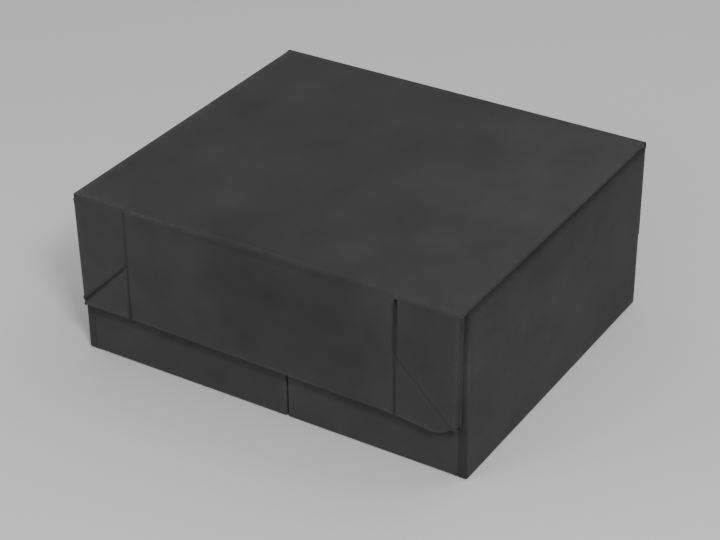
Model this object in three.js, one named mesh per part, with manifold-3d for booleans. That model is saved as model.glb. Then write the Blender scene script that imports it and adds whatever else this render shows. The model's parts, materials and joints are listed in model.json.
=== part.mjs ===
// A trading card drawer box: a cloth-wrapped board case with four card rows over two drawers.
// Its lid is hinged at the back, and the lid's front flap folds along a crease at half its height.
// Each end of the flap is a wing with two gusset triangles, which turn the flap into a tray corner.
// Millimetres; X runs along the front, the front faces -Y, and Z points up from the table.
import * as THREE from "three";
import { mergeVertices } from "three/addons/utils/BufferGeometryUtils.js";
import Module from "manifold-3d";

const wasm = await Module();
wasm.setup();

// Clearances
const seatGap = 0.3; // between pieces that are glued or rest on each other
const flapGap = 0.4; // between the closed flap and the wall behind it
const slideGap = 0.8; // beside a drawer's box
const overrun = 2; // how far a cutter passes the face that it cuts

// Case
const caseWidth = 360;
const caseDepth = 298.4;
const caseHeight = 148.1;
const sideThickness = 8;
const baseThickness = 3;
const backThickness = 4;
const shelfThickness = 3;
const shelfTop = 49;
const frontWallThickness = 3;
const facingInset = 4.8; // from the case's outer side to a facing board's end
const wrapRadius = 1.1; // the cloth's turn round a board's edge
const sideCornerRadius = 2.4;

// Lid and its two hanging panels
const lidInset = 3.3; // the ledge that the lid leaves on each side board
const lidThickness = 3.3;
const lidCornerRadius = 3;
const coverProud = 9.4; // the cover's hanging panels stand this far out from the case
const backPanelBottom = 61;
const liningThickness = 0.8;
const liningMargin = 1.2;

// Flap
const flapThickness = 4.4;
const flapBottom = 48;
const flapWrapRadius = 1.9;
const gussetWrapRadius = 1.5; // tighter, for the short foot of the right outer gusset
const flapCornerRadius = 3;
const leftWingWidth = 50.2; // from an upright crease to the flap's end
const rightWingWidth = 55.5;
const foldDrop = 0.85; // from the middle of the cover's front down to the level crease
const foldGroove = 3.2; // between boards that fold towards the lining
const midGroove = 1.6; // between the two halves of the flap's middle

// Row partitions and drawers
const partitionThickness = 3;
const rowPartitionThickness = 2.4;
const splitX = 18; // the drawers meet here, right of the middle
const rowPartitionDrop = 18; // a row partition's top lies this far below the lid's seat
const mainPartitionDrop = 2.5;
const scoopDepth = 16;
const scoopCorner = 30;
const padThickness = 0.8;
const padMargin = 1;
const drawerFrontThickness = 4;
const drawerFrontTop = 45.4;
const drawerFrontFoot = 0.8;
const drawerFrontGap = 1; // between the two drawer fronts
const drawerWallThickness = 2.6;
const drawerFloorThickness = 2.4;
const drawerWallTop = 44;
const drawerBackDrop = 4; // the back wall is lower than the sides
const drawerEndGap = 1;

// Finger notches and magnets
const notchRadius = 13;
const notchMargin = 1;
const slotHalfWidth = 11; // of the gap in the shelf's front rail
const railDepth = 12;
const magnetRadius = 8;
const magnetThickness = 2;
const magnetPlayShare = 0.03;
const flapMagnetX = 78;
const flapMagnetLift = 14; // above the flap's low edge
const catchMagnetRadius = 5;
const catchMagnetLift = 24;

// Facets
const arcSteps = 4;
const notchSteps = 14;
const magnetSides = 24;

// Places that follow from the sizes above
const halfWidth = caseWidth / 2;
const sideInner = halfWidth - sideThickness;
const innerHalf = sideInner - seatGap;
const caseFront = -caseDepth / 2;
const caseBack = caseDepth / 2;
const coverFront = caseFront - coverProud;
const coverBack = caseBack + coverProud;
const lidHalf = halfWidth - lidInset;
const lidBottom = caseHeight + seatGap;
const lidTop = lidBottom + lidThickness;
const facingHalf = halfWidth - facingInset;
const flapTop = lidBottom - seatGap;
const flapBack = coverFront + flapThickness;
const foldZ = (lidTop + flapBottom) / 2 - foldDrop;
const leftCrease = lidHalf - leftWingWidth;
const rightCrease = lidHalf - rightWingWidth;
const facingFront = flapBack + flapGap;
const facingThickness = caseFront - seatGap - facingFront;
const wallBack = caseFront + frontWallThickness;
const boardBackInner = caseBack - backThickness;
const shelfBottom = shelfTop - shelfThickness;
const rowFloor = shelfTop + seatGap;
const drawerFrontBack = caseFront + drawerFrontThickness;
const innerFront = drawerFrontBack + seatGap;
const innerBack = boardBackInner - seatGap;
const splitLow = splitX - partitionThickness / 2;
const splitHigh = splitX + partitionThickness / 2;
const railBack = caseFront + railDepth;
const drawerXs = [splitX - (splitX + sideInner) / 2, splitX + (sideInner - splitX) / 2];
const rowEdges = [
  -sideInner,
  (splitLow - sideInner) / 2,
  splitX,
  (splitHigh + sideInner) / 2,
  sideInner,
];

function cloth(color, roughness) {
  return new THREE.MeshStandardMaterial({ color, roughness, metalness: 0 });
}
const suede = cloth(0x3b3b3c, 0.92);
const innerCloth = cloth(0x2c2c2e, 0.95);
const felt = cloth(0x242426, 1);
const magnetSteel = new THREE.MeshStandardMaterial({ color: 0xa9acb0, roughness: 0.3, metalness: 1 });

// Corners of a rectangle
function rectangle(lowX, highX, lowY, highY) {
  return [[lowX, lowY], [highX, lowY], [highX, highY], [lowX, highY]];
}

// An outline through the corners, each rounded by the radius where that is not zero
function outlineOf(corners, radius = 0) {
  const shape = new THREE.Shape();
  const count = corners.length;
  corners.forEach(([x, y], index) => {
    const before = corners[(index + count - 1) % count];
    const after = corners[(index + 1) % count];
    const backward = new THREE.Vector2(before[0] - x, before[1] - y);
    const forward = new THREE.Vector2(after[0] - x, after[1] - y);
    const reach = Math.min(radius, backward.length() / 2, forward.length() / 2);
    const start = new THREE.Vector2(x, y).addScaledVector(backward.normalize(), reach);
    const end = new THREE.Vector2(x, y).addScaledVector(forward.normalize(), reach);
    if (index === 0) shape.moveTo(start.x, start.y);
    else shape.lineTo(start.x, start.y);
    if (reach > 0) shape.quadraticCurveTo(x, y, end.x, end.y);
  });
  shape.closePath();
  return shape;
}

// A wrapped board: the outline, as thick as asked, with its edges turned by the cloth
function wrappedBoard(shape, thickness, wrap) {
  const turn = Math.min(wrap, thickness / 2 - overrun / 10);
  const options = {
    depth: thickness - 2 * turn,
    bevelEnabled: turn > 0,
    bevelThickness: turn,
    bevelSize: turn,
    bevelOffset: -turn,
    bevelSegments: 2,
    curveSegments: arcSteps,
  };
  return new THREE.ExtrudeGeometry(shape, options).translate(0, 0, turn);
}

const axisX = new THREE.Vector3(1, 0, 0);
const axisY = new THREE.Vector3(0, 1, 0);
const axisZ = new THREE.Vector3(0, 0, 1);
const standAcross = new THREE.Matrix4().makeBasis(axisX, axisZ, axisY.clone().negate());
const standAlong = new THREE.Matrix4().makeBasis(axisY, axisZ, axisX);

function named(name, geometry, material) {
  const mesh = new THREE.Mesh(geometry, material);
  mesh.name = name;
  return mesh;
}

// A level board on a height, with its outline in X and Y
function levelBoard(name, shape, thickness, bottomZ, material, wrap = wrapRadius) {
  const mesh = named(name, wrappedBoard(shape, thickness, wrap), material);
  mesh.position.z = bottomZ;
  return mesh;
}

// A board that faces the front, with its outline in X and Z
function crossBoard(name, shape, thickness, frontY, material, wrap = wrapRadius) {
  const geometry = wrappedBoard(shape, thickness, wrap).applyMatrix4(standAcross);
  const mesh = named(name, geometry, material);
  mesh.position.y = frontY + thickness;
  return mesh;
}

// A board that faces the sides, with its outline in Y and Z
function longBoard(name, shape, thickness, lowX, material, wrap = wrapRadius) {
  const geometry = wrappedBoard(shape, thickness, wrap).applyMatrix4(standAlong);
  const mesh = named(name, geometry, material);
  mesh.position.x = lowX;
  return mesh;
}

function solidOf(geometry) {
  const bare = geometry.clone();
  bare.deleteAttribute("normal");
  bare.deleteAttribute("uv");
  const merged = mergeVertices(bare, seatGap / 1000);
  const vertProperties = merged.attributes.position.array;
  const triVerts = new Uint32Array(merged.index.array);
  return new wasm.Manifold(new wasm.Mesh({ numProp: 3, vertProperties, triVerts }));
}

function geometryOf(solid) {
  const { vertProperties, triVerts } = solid.getMesh();
  const geometry = new THREE.BufferGeometry();
  geometry.setAttribute("position", new THREE.BufferAttribute(vertProperties, 3));
  geometry.setIndex(new THREE.BufferAttribute(triVerts, 1));
  const faceted = geometry.toNonIndexed();
  faceted.computeVertexNormals();
  return faceted;
}

// A disc across the Y axis, from a front face back
function disc(radius, thickness, x, frontY, z) {
  const geometry = new THREE.CylinderGeometry(radius, radius, thickness, magnetSides);
  return geometry.translate(x, frontY + thickness / 2, z);
}

// Round pockets in a board that faces the front
function withPockets(mesh, cutters) {
  let solid = solidOf(mesh.geometry.clone().translate(0, mesh.position.y, 0));
  cutters.forEach((cutter) => {
    solid = solid.subtract(solidOf(cutter));
  });
  mesh.geometry = geometryOf(solid).translate(0, -mesh.position.y, 0);
  return mesh;
}

function pocket(radius, depth, x, frontY, z) {
  return disc(radius * (1 + magnetPlayShare), depth, x, frontY, z);
}

// The corners of the piece of an outline on one side of a line through a place
function keptSide(corners, place, towards) {
  const side = ([x, y]) => (x - place[0]) * towards[0] + (y - place[1]) * towards[1];
  const kept = [];
  corners.forEach((corner, index) => {
    const next = corners[(index + 1) % corners.length];
    const here = side(corner);
    const there = side(next);
    if (here >= 0) kept.push(corner);
    if (here * there < 0) {
      const share = here / (here - there);
      kept.push(corner.map((value, axis) => value + share * (next[axis] - value)));
    }
  });
  return kept;
}

// Case

function makeSideBoard(name, lowX) {
  const shape = outlineOf(rectangle(caseFront, caseBack, 0, caseHeight), sideCornerRadius);
  return longBoard(name, shape, sideThickness, lowX, suede);
}

function makeBase() {
  const shape = outlineOf(rectangle(-innerHalf, innerHalf, innerFront, innerBack));
  return levelBoard("base_board", shape, baseThickness, 0, suede, 0);
}

// The back board has a pocket for each drawer's catch magnet
function makeBack() {
  const shape = outlineOf(rectangle(-innerHalf, innerHalf, 0, caseHeight));
  const board = crossBoard("back_board", shape, backThickness, boardBackInner, suede, 0);
  const depth = magnetThickness + seatGap;
  const cutters = drawerXs.map((x) =>
    pocket(catchMagnetRadius, depth + overrun, x, boardBackInner - overrun, catchMagnetLift),
  );
  return withPockets(board, cutters);
}

// The board on the back of the case that carries the cover's back panel
function makeBackFacing() {
  const shape = outlineOf(rectangle(-facingHalf, facingHalf, backPanelBottom, caseHeight));
  const thickness = coverProud - flapThickness - 2 * seatGap;
  return crossBoard("back_facing_board", shape, thickness, caseBack + seatGap, suede);
}

function makeBackPanel() {
  const shape = outlineOf(rectangle(-lidHalf, lidHalf, backPanelBottom, flapTop), flapCornerRadius);
  const front = coverBack - flapThickness;
  return crossBoard("cover_back_panel", shape, flapThickness, front, suede, flapWrapRadius);
}

// The wall's low edge with a half-round notch for a finger at each drawer, from left to right
function notchedEdge() {
  return drawerXs.flatMap((x) => {
    const points = [];
    for (let step = 0; step <= notchSteps; step += 1) {
      const angle = (Math.PI * step) / notchSteps;
      points.push([x - notchRadius * Math.cos(angle), rowFloor + notchRadius * Math.sin(angle)]);
    }
    return points;
  });
}

// The floor of the card rows
function makeShelf() {
  const shape = outlineOf(rectangle(-innerHalf, innerHalf, railBack + seatGap, innerBack));
  return levelBoard("shelf_board", shape, shelfThickness, shelfBottom, innerCloth, 0);
}

// The shelf's front rail, in lengths that leave a gap over each drawer, through which a finger
// reaches the top edge of the drawer's front
function makeShelfRails() {
  const names = ["left_shelf_rail", "middle_shelf_rail", "right_shelf_rail"];
  const lows = [-innerHalf, ...drawerXs.map((x) => x + slotHalfWidth)];
  const highs = [...drawerXs.map((x) => x - slotHalfWidth), innerHalf];
  return names.map((name, index) => {
    const shape = outlineOf(rectangle(lows[index], highs[index], caseFront, railBack));
    return levelBoard(name, shape, shelfThickness, shelfBottom, innerCloth, 0);
  });
}

const flapMagnetFront = flapBack - magnetThickness;
const flapMagnetZ = flapBottom + flapMagnetLift;
const flapMagnetXs = [-flapMagnetX, flapMagnetX];

// The outline of a board before the card rows, with a finger notch over each drawer
function notchedOutline(half) {
  return outlineOf([
    [-half, rowFloor],
    ...notchedEdge(),
    [half, rowFloor],
    [half, caseHeight],
    [-half, caseHeight],
  ]);
}

// The wall before the card rows, between the side boards
function makeFrontWall() {
  const shape = notchedOutline(innerHalf);
  return crossBoard("front_wall", shape, frontWallThickness, caseFront, innerCloth, 0);
}

// The board on the wall and the side boards' edges that the closed flap lies against, with
// pockets for the magnets that hold the flap
function makeFrontFacing() {
  const shape = notchedOutline(facingHalf);
  const board = crossBoard("front_facing_board", shape, facingThickness, facingFront, innerCloth, 0);
  const depth = magnetThickness + seatGap;
  const cutters = flapMagnetXs.map((x) =>
    pocket(magnetRadius, depth + overrun, x, facingFront - overrun, flapMagnetZ),
  );
  return withPockets(board, cutters);
}

function makeMagnet(name, radius, x, frontY, z) {
  return named(name, disc(radius, magnetThickness, x, frontY, z), magnetSteel);
}

// The wall between the wide rows and the narrow ones
function makeMainPartition() {
  const top = caseHeight - mainPartitionDrop;
  const shape = outlineOf(rectangle(wallBack + seatGap, innerBack, rowFloor, top));
  return longBoard("main_partition", shape, partitionThickness, splitLow, innerCloth);
}

// A lower wall between two rows, dipped in the middle so that the cards can be gripped, and
// cut round at its low front corner, which stands over a drawer's finger notch
function makeRowPartition(name, middleX) {
  const front = wallBack + seatGap;
  const top = caseHeight - rowPartitionDrop;
  const low = top - scoopDepth;
  const reliefTop = rowFloor + notchRadius + notchMargin;
  const shape = new THREE.Shape();
  shape.moveTo(railBack, rowFloor);
  shape.lineTo(innerBack, rowFloor);
  shape.lineTo(innerBack, top);
  shape.lineTo(innerBack - scoopCorner, top);
  shape.bezierCurveTo(
    innerBack - 2 * scoopCorner, top, innerBack - 2 * scoopCorner, low, innerBack - 3 * scoopCorner, low,
  );
  shape.lineTo(front + 3 * scoopCorner, low);
  shape.bezierCurveTo(
    front + 2 * scoopCorner, low, front + 2 * scoopCorner, top, front + scoopCorner, top,
  );
  shape.lineTo(front, top);
  shape.lineTo(front, reliefTop);
  shape.quadraticCurveTo(railBack, reliefTop, railBack, rowFloor);
  const lowX = middleX - rowPartitionThickness / 2;
  return longBoard(name, shape, rowPartitionThickness, lowX, innerCloth, 0);
}

// A felt pad on the floor of one row, behind the shelf's front rail
function makeRowPad(name, lowX, highX) {
  const shape = outlineOf(
    rectangle(lowX + padMargin, highX - padMargin, railBack, boardBackInner - padMargin), padMargin,
  );
  return levelBoard(name, shape, padThickness, rowFloor, felt, 0);
}

function makeDrawerDivider() {
  const bottom = baseThickness + seatGap;
  const shape = outlineOf(rectangle(innerFront, innerBack, bottom, shelfBottom - seatGap));
  return longBoard("drawer_divider", shape, partitionThickness, splitLow, suede, 0);
}

function makeCase() {
  const group = new THREE.Group();
  group.add(
    makeBase(),
    makeSideBoard("left_side_board", -halfWidth),
    makeSideBoard("right_side_board", sideInner),
    makeBack(),
    makeBackFacing(),
    makeBackPanel(),
    makeShelf(),
    ...makeShelfRails(),
    makeFrontWall(),
    makeFrontFacing(),
    makeMainPartition(),
    makeRowPartition("left_row_partition", rowEdges[1]),
    makeRowPartition("right_row_partition", rowEdges[3]),
    makeDrawerDivider(),
  );
  const halfWalls = [0, rowPartitionThickness / 2, partitionThickness / 2, rowPartitionThickness / 2, 0];
  for (let row = 0; row < rowEdges.length - 1; row += 1) {
    const low = rowEdges[row] + halfWalls[row];
    const high = rowEdges[row + 1] - halfWalls[row + 1];
    group.add(makeRowPad(`row_${row + 1}_pad`, low, high));
  }
  ["left", "right"].forEach((side, index) => {
    group.add(
      makeMagnet(`${side}_wall_magnet`, magnetRadius, flapMagnetXs[index], facingFront, flapMagnetZ),
      makeMagnet(
        `${side}_catch_magnet`, catchMagnetRadius, drawerXs[index], boardBackInner, catchMagnetLift,
      ),
    );
  });
  return group;
}

// Lid

function makeLidBoard() {
  const shape = outlineOf(rectangle(-lidHalf, lidHalf, coverFront, coverBack), lidCornerRadius);
  return levelBoard("lid_board", shape, lidThickness, lidBottom, suede);
}

// The lining pad under the lid, which drops between the case's walls
function makeLidLining() {
  const shape = outlineOf(
    rectangle(
      -sideInner + liningMargin, sideInner - liningMargin,
      wallBack + liningMargin, boardBackInner - liningMargin,
    ),
    liningMargin,
  );
  const bottom = lidBottom - seatGap - liningThickness;
  return levelBoard("lid_lining", shape, liningThickness, bottom, felt, 0);
}

function makeLid() {
  const group = new THREE.Group();
  group.add(makeLidBoard(), makeLidLining());
  return group;
}

// Flap

const middleLow = foldGroove / 2 - leftCrease;
const middleHigh = rightCrease - foldGroove / 2;

function flapBoard(name, shape, wrap = flapWrapRadius) {
  return crossBoard(name, shape, flapThickness, coverFront, suede, wrap);
}

function makeFlapUpper() {
  const shape = outlineOf(rectangle(middleLow, middleHigh, foldZ + midGroove / 2, flapTop));
  return flapBoard("flap_upper_board", shape);
}

function makeFlapLower() {
  const shape = outlineOf(rectangle(middleLow, middleHigh, flapBottom, foldZ - midGroove / 2));
  const board = flapBoard("flap_lower_board", shape);
  const depth = magnetThickness + seatGap;
  const cutters = flapMagnetXs.map((x) =>
    pocket(magnetRadius, depth + overrun, x, flapBack - depth, flapMagnetZ),
  );
  return withPockets(board, cutters);
}

function mirrored(corners, side) {
  return corners.map(([x, y]) => [side * x, y]);
}

// The board at an end of the flap's upper half, free of the lid along its top
function makeWing(name, side, crease) {
  const corners = rectangle(crease + foldGroove / 2, lidHalf, foldZ + foldGroove / 2, flapTop);
  const shape = outlineOf(mirrored(corners, side), flapCornerRadius);
  return flapBoard(name, shape);
}

// The two triangles below a wing meet along a diagonal from the creases' crossing down and outwards
const diagonal = [Math.SQRT1_2, Math.SQRT1_2];

function makeOuterGusset(name, side, crease) {
  const below = rectangle(crease + foldGroove / 2, lidHalf, flapBottom, foldZ - foldGroove / 2);
  const seam = [crease + diagonal[0] * (foldGroove / 2), foldZ + diagonal[1] * (foldGroove / 2)];
  const corners = keptSide(below, seam, diagonal);
  return flapBoard(name, outlineOf(mirrored(corners, side)), gussetWrapRadius);
}

function makeInnerGusset(name, side, crease) {
  const beside = rectangle(crease + foldGroove / 2, lidHalf, flapBottom, foldZ - foldGroove / 2);
  const seam = [crease - diagonal[0] * (foldGroove / 2), foldZ - diagonal[1] * (foldGroove / 2)];
  const corners = keptSide(beside, seam, [-diagonal[0], -diagonal[1]]);
  return flapBoard(name, outlineOf(mirrored(corners, side)), gussetWrapRadius);
}

function makeFlap() {
  const upper = new THREE.Group();
  const lower = new THREE.Group();
  upper.add(makeFlapUpper(), lower);
  lower.add(makeFlapLower());
  [["left", -1, leftCrease], ["right", 1, rightCrease]].forEach(([label, side, crease]) => {
    const wing = new THREE.Group();
    wing.add(
      makeWing(`${label}_wing_board`, side, crease),
      makeOuterGusset(`${label}_outer_gusset`, side, crease),
    );
    upper.add(wing);
    lower.add(
      makeInnerGusset(`${label}_inner_gusset`, side, crease),
      makeMagnet(`${label}_flap_magnet`, magnetRadius, side * flapMagnetX, flapMagnetFront, flapMagnetZ),
    );
  });
  return upper;
}

// Drawers

const drawerFloorBottom = baseThickness + seatGap;
const drawerFloorTop = drawerFloorBottom + drawerFloorThickness;
const drawerBack = innerBack - drawerEndGap;
const drawerWallBottom = drawerFloorBottom;

// A drawer between two upright faces of the case; its front covers the width given apart
function makeDrawer(label, boxLow, boxHigh, frontLow, frontHigh, magnetX) {
  const group = new THREE.Group();
  const inLow = boxLow + drawerWallThickness + seatGap;
  const inHigh = boxHigh - drawerWallThickness - seatGap;
  const boxFront = innerFront;
  const wallOutline = outlineOf(rectangle(boxFront, drawerBack, drawerWallBottom, drawerWallTop));
  const backOutline = outlineOf(
    rectangle(inLow, inHigh, drawerWallBottom, drawerWallTop - drawerBackDrop),
  );
  const backWall = crossBoard(
    `${label}_drawer_back`, backOutline, drawerWallThickness, drawerBack - drawerWallThickness,
    innerCloth, 0,
  );
  const depth = magnetThickness + seatGap;
  const magnetFront = drawerBack - magnetThickness;
  const cutter = pocket(catchMagnetRadius, depth + overrun, magnetX, drawerBack - depth, catchMagnetLift);
  const frontOutline = outlineOf(
    rectangle(frontLow, frontHigh, drawerFrontFoot, drawerFrontTop), flapCornerRadius,
  );
  const floorBack = drawerBack - drawerWallThickness - seatGap;
  const floorOutline = outlineOf(rectangle(inLow, inHigh, boxFront, floorBack));
  const padOutline = outlineOf(
    rectangle(inLow + padMargin, inHigh - padMargin, boxFront + padMargin, floorBack - padMargin),
    padMargin,
  );
  group.add(
    crossBoard(`${label}_drawer_front`, frontOutline, drawerFrontThickness, caseFront, suede),
    longBoard(`${label}_drawer_left_wall`, wallOutline, drawerWallThickness, boxLow, innerCloth, 0),
    longBoard(
      `${label}_drawer_right_wall`, wallOutline, drawerWallThickness, boxHigh - drawerWallThickness,
      innerCloth, 0,
    ),
    withPockets(backWall, [cutter]),
    levelBoard(
      `${label}_drawer_floor`, floorOutline, drawerFloorThickness, drawerFloorBottom, innerCloth, 0,
    ),
    levelBoard(`${label}_drawer_pad`, padOutline, padThickness, drawerFloorTop + seatGap, felt, 0),
    makeMagnet(`${label}_drawer_magnet`, catchMagnetRadius, magnetX, magnetFront, catchMagnetLift),
  );
  return group;
}

function makeDrawers() {
  const group = new THREE.Group();
  const frontEnd = sideInner - seatGap;
  const halfGap = drawerFrontGap / 2;
  group.add(
    makeDrawer(
      "left", -sideInner + slideGap, splitLow - slideGap, -frontEnd, splitX - halfGap, drawerXs[0],
    ),
    makeDrawer(
      "right", splitHigh + slideGap, sideInner - slideGap, splitX + halfGap, frontEnd, drawerXs[1],
    ),
  );
  return group;
}

const root = new THREE.Group();
root.add(makeCase(), makeLid(), makeFlap(), makeDrawers());

export default root;
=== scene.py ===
"""A trading card drawer box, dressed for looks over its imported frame.

Boards wrapped in charcoal microfibre suede, a lid with a folding front flap, four card rows and
two drawers. Metres; X runs along the front, the front faces -Y, and Z points up from the table.
"""

import json
import logging
import math
from dataclasses import dataclass
from enum import Enum
from typing import Any, ClassVar, Sequence

import bmesh
import bpy
import numpy as np
from bpy.types import ID, Material, Mesh, NodeSocket, NodeTree, Object
from mathutils import Matrix, Vector
from mathutils.geometry import delaunay_2d_cdt


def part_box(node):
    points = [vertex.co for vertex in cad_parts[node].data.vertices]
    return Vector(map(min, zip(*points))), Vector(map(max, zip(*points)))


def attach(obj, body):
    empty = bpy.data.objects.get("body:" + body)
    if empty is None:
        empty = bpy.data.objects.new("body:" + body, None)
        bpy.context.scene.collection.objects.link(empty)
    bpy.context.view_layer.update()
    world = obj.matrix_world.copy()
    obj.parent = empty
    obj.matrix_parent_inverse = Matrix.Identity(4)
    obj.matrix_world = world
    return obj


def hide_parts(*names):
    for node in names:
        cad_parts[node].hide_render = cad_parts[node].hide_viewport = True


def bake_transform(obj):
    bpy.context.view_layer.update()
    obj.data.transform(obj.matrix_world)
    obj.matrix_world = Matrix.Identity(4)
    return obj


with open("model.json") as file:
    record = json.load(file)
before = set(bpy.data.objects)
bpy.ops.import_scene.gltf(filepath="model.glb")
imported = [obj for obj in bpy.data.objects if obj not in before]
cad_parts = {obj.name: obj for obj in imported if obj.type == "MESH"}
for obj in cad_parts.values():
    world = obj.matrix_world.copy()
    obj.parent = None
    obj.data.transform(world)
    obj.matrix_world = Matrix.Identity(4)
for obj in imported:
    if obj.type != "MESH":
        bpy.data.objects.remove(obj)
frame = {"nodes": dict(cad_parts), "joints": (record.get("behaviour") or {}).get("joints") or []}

log = logging.getLogger("drawer_box")

MM = 0.001
ARC_STEPS = 6  # of a rounded corner
LINING_STEP = 0.0003  # from the turned-in cloth down to the lining
UNLINED = 1.0  # a turn-in wider than any board
SIDES = ("left", "right")
HAIR = 0.00003  # a gap that no view shows
SHARP_TURN = 0.00012  # of a rim that no view shows
SHEET_TURNS = {"turn": 0.0003, "back_turn": 0.0002}  # of a thin sheet's cut edge
Place = tuple[float, float]
Place3 = tuple[float, float, float]
Colour = tuple[float, float, float, float]


# Node trees


class NodeMaker:
    """Adds nodes to a tree and wires them, for shaders and for geometry alike."""

    def __init__(self, tree: NodeTree) -> None:
        """Keeps the tree that is being made."""
        self.tree = tree

    def add(self, kind: str, settings: dict[str, Any] | None = None, **sockets: Any) -> Any:
        """Adds one node.

        Args:
            kind: The node's type.
            settings: Properties of the node itself.
            sockets: A value or a socket for each input, by its name with _ for a space, or by
                i and its number.

        Returns:
            The node.
        """
        node = self.tree.nodes.new(kind)
        for name, value in (settings or {}).items():
            setattr(node, name, value)
        for name, value in sockets.items():
            numbered = name[0] == "i" and name[1:].isdigit()
            socket = node.inputs[int(name[1:])] if numbered else node.inputs[name.replace("_", " ")]
            if isinstance(value, NodeSocket):
                self.tree.links.new(value, socket)
            else:
                socket.default_value = value
        return node

    def out(self, kind: str, settings: dict[str, Any] | None = None, **sockets: Any) -> Any:
        """Adds one node, as add does, and returns its first output."""
        return self.add(kind, settings, **sockets).outputs[0]

    def sum(self, operation: str, *values: Any) -> NodeSocket:
        """Adds a Math node and returns its result."""
        sockets = {f"i{n}": value for n, value in enumerate(values)}
        return self.out("ShaderNodeMath", {"operation": operation}, **sockets)

    def ramp(self, value: Any, low: Any, high: Any, start: float, end: float) -> Any:
        """Maps a value from low..high smoothly to start..end and returns the result."""
        sockets = {"i0": value, "i1": low, "i2": high, "i3": start, "i4": end}
        return self.out("ShaderNodeMapRange", {"interpolation_type": "SMOOTHSTEP"}, **sockets)

    def noise(
        self, place: Any, scale: float, detail: float, rough: float = 0.5, bend: float = 0.0
    ) -> NodeSocket:
        """Adds a noise texture and returns its height."""
        sockets = {"Vector": place, "Scale": scale, "Detail": detail, "Roughness": rough}
        return self.out("ShaderNodeTexNoise", Distortion=bend, **sockets)

    def mix(self, share: Any, one: Any, two: Any) -> NodeSocket:
        """Mixes two colours and returns the result."""
        return self.add("ShaderNodeMix", {"data_type": "RGBA"}, i0=share, i6=one, i7=two).outputs[2]

    def parts(self, place: Any) -> Any:
        """Takes a place apart and returns its X, Y and Z."""
        return self.add("ShaderNodeSeparateXYZ", i0=place).outputs


# Finishes


def shade(grey: float, warmth: float = 0.0) -> Colour:
    """A dark neutral colour, a little warmer or cooler."""
    return (grey * (1 + warmth), grey, grey * (1 - warmth), 1.0)


class Shader:
    """A material in the making. Its shader's inputs are named with _ for a space."""

    def __init__(self, name: str, **numbers: float) -> None:
        """Starts a material.

        Args:
            name: The material's name.
            numbers: Inputs of its shader that are plain numbers.
        """
        self.material = bpy.data.materials.new(name)
        self.material.use_nodes = True
        self.nodes = NodeMaker(self.material.node_tree)
        self.place = self.nodes.add("ShaderNodeTexCoord").outputs["Object"]
        self.inputs = self.material.node_tree.nodes["Principled BSDF"].inputs
        for socket, value in numbers.items():
            self.inputs[socket.replace("_", " ")].default_value = value

    def tones(self, value: Any, *stops: tuple[float, Colour]) -> Any:
        """Colours a value.

        Args:
            value: The value, from 0 to 1.
            stops: At which value it has which colour.

        Returns:
            The colour.
        """
        ramp = self.nodes.add("ShaderNodeValToRGB", Fac=value)
        elements = ramp.color_ramp.elements
        for position, _ in stops[1:-1]:
            elements.new(position)
        for element, (position, colour) in zip(elements, stops):
            element.position, element.color = position, colour
        return ramp.outputs[0]

    def finish(self, **sources: Any) -> Material:
        """Wires the shader's other inputs.

        Args:
            sources: What goes into which input.

        Returns:
            The material.
        """
        for socket, source in sources.items():
            self.nodes.tree.links.new(source, self.inputs[socket.replace("_", " ")])
        return self.material


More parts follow.
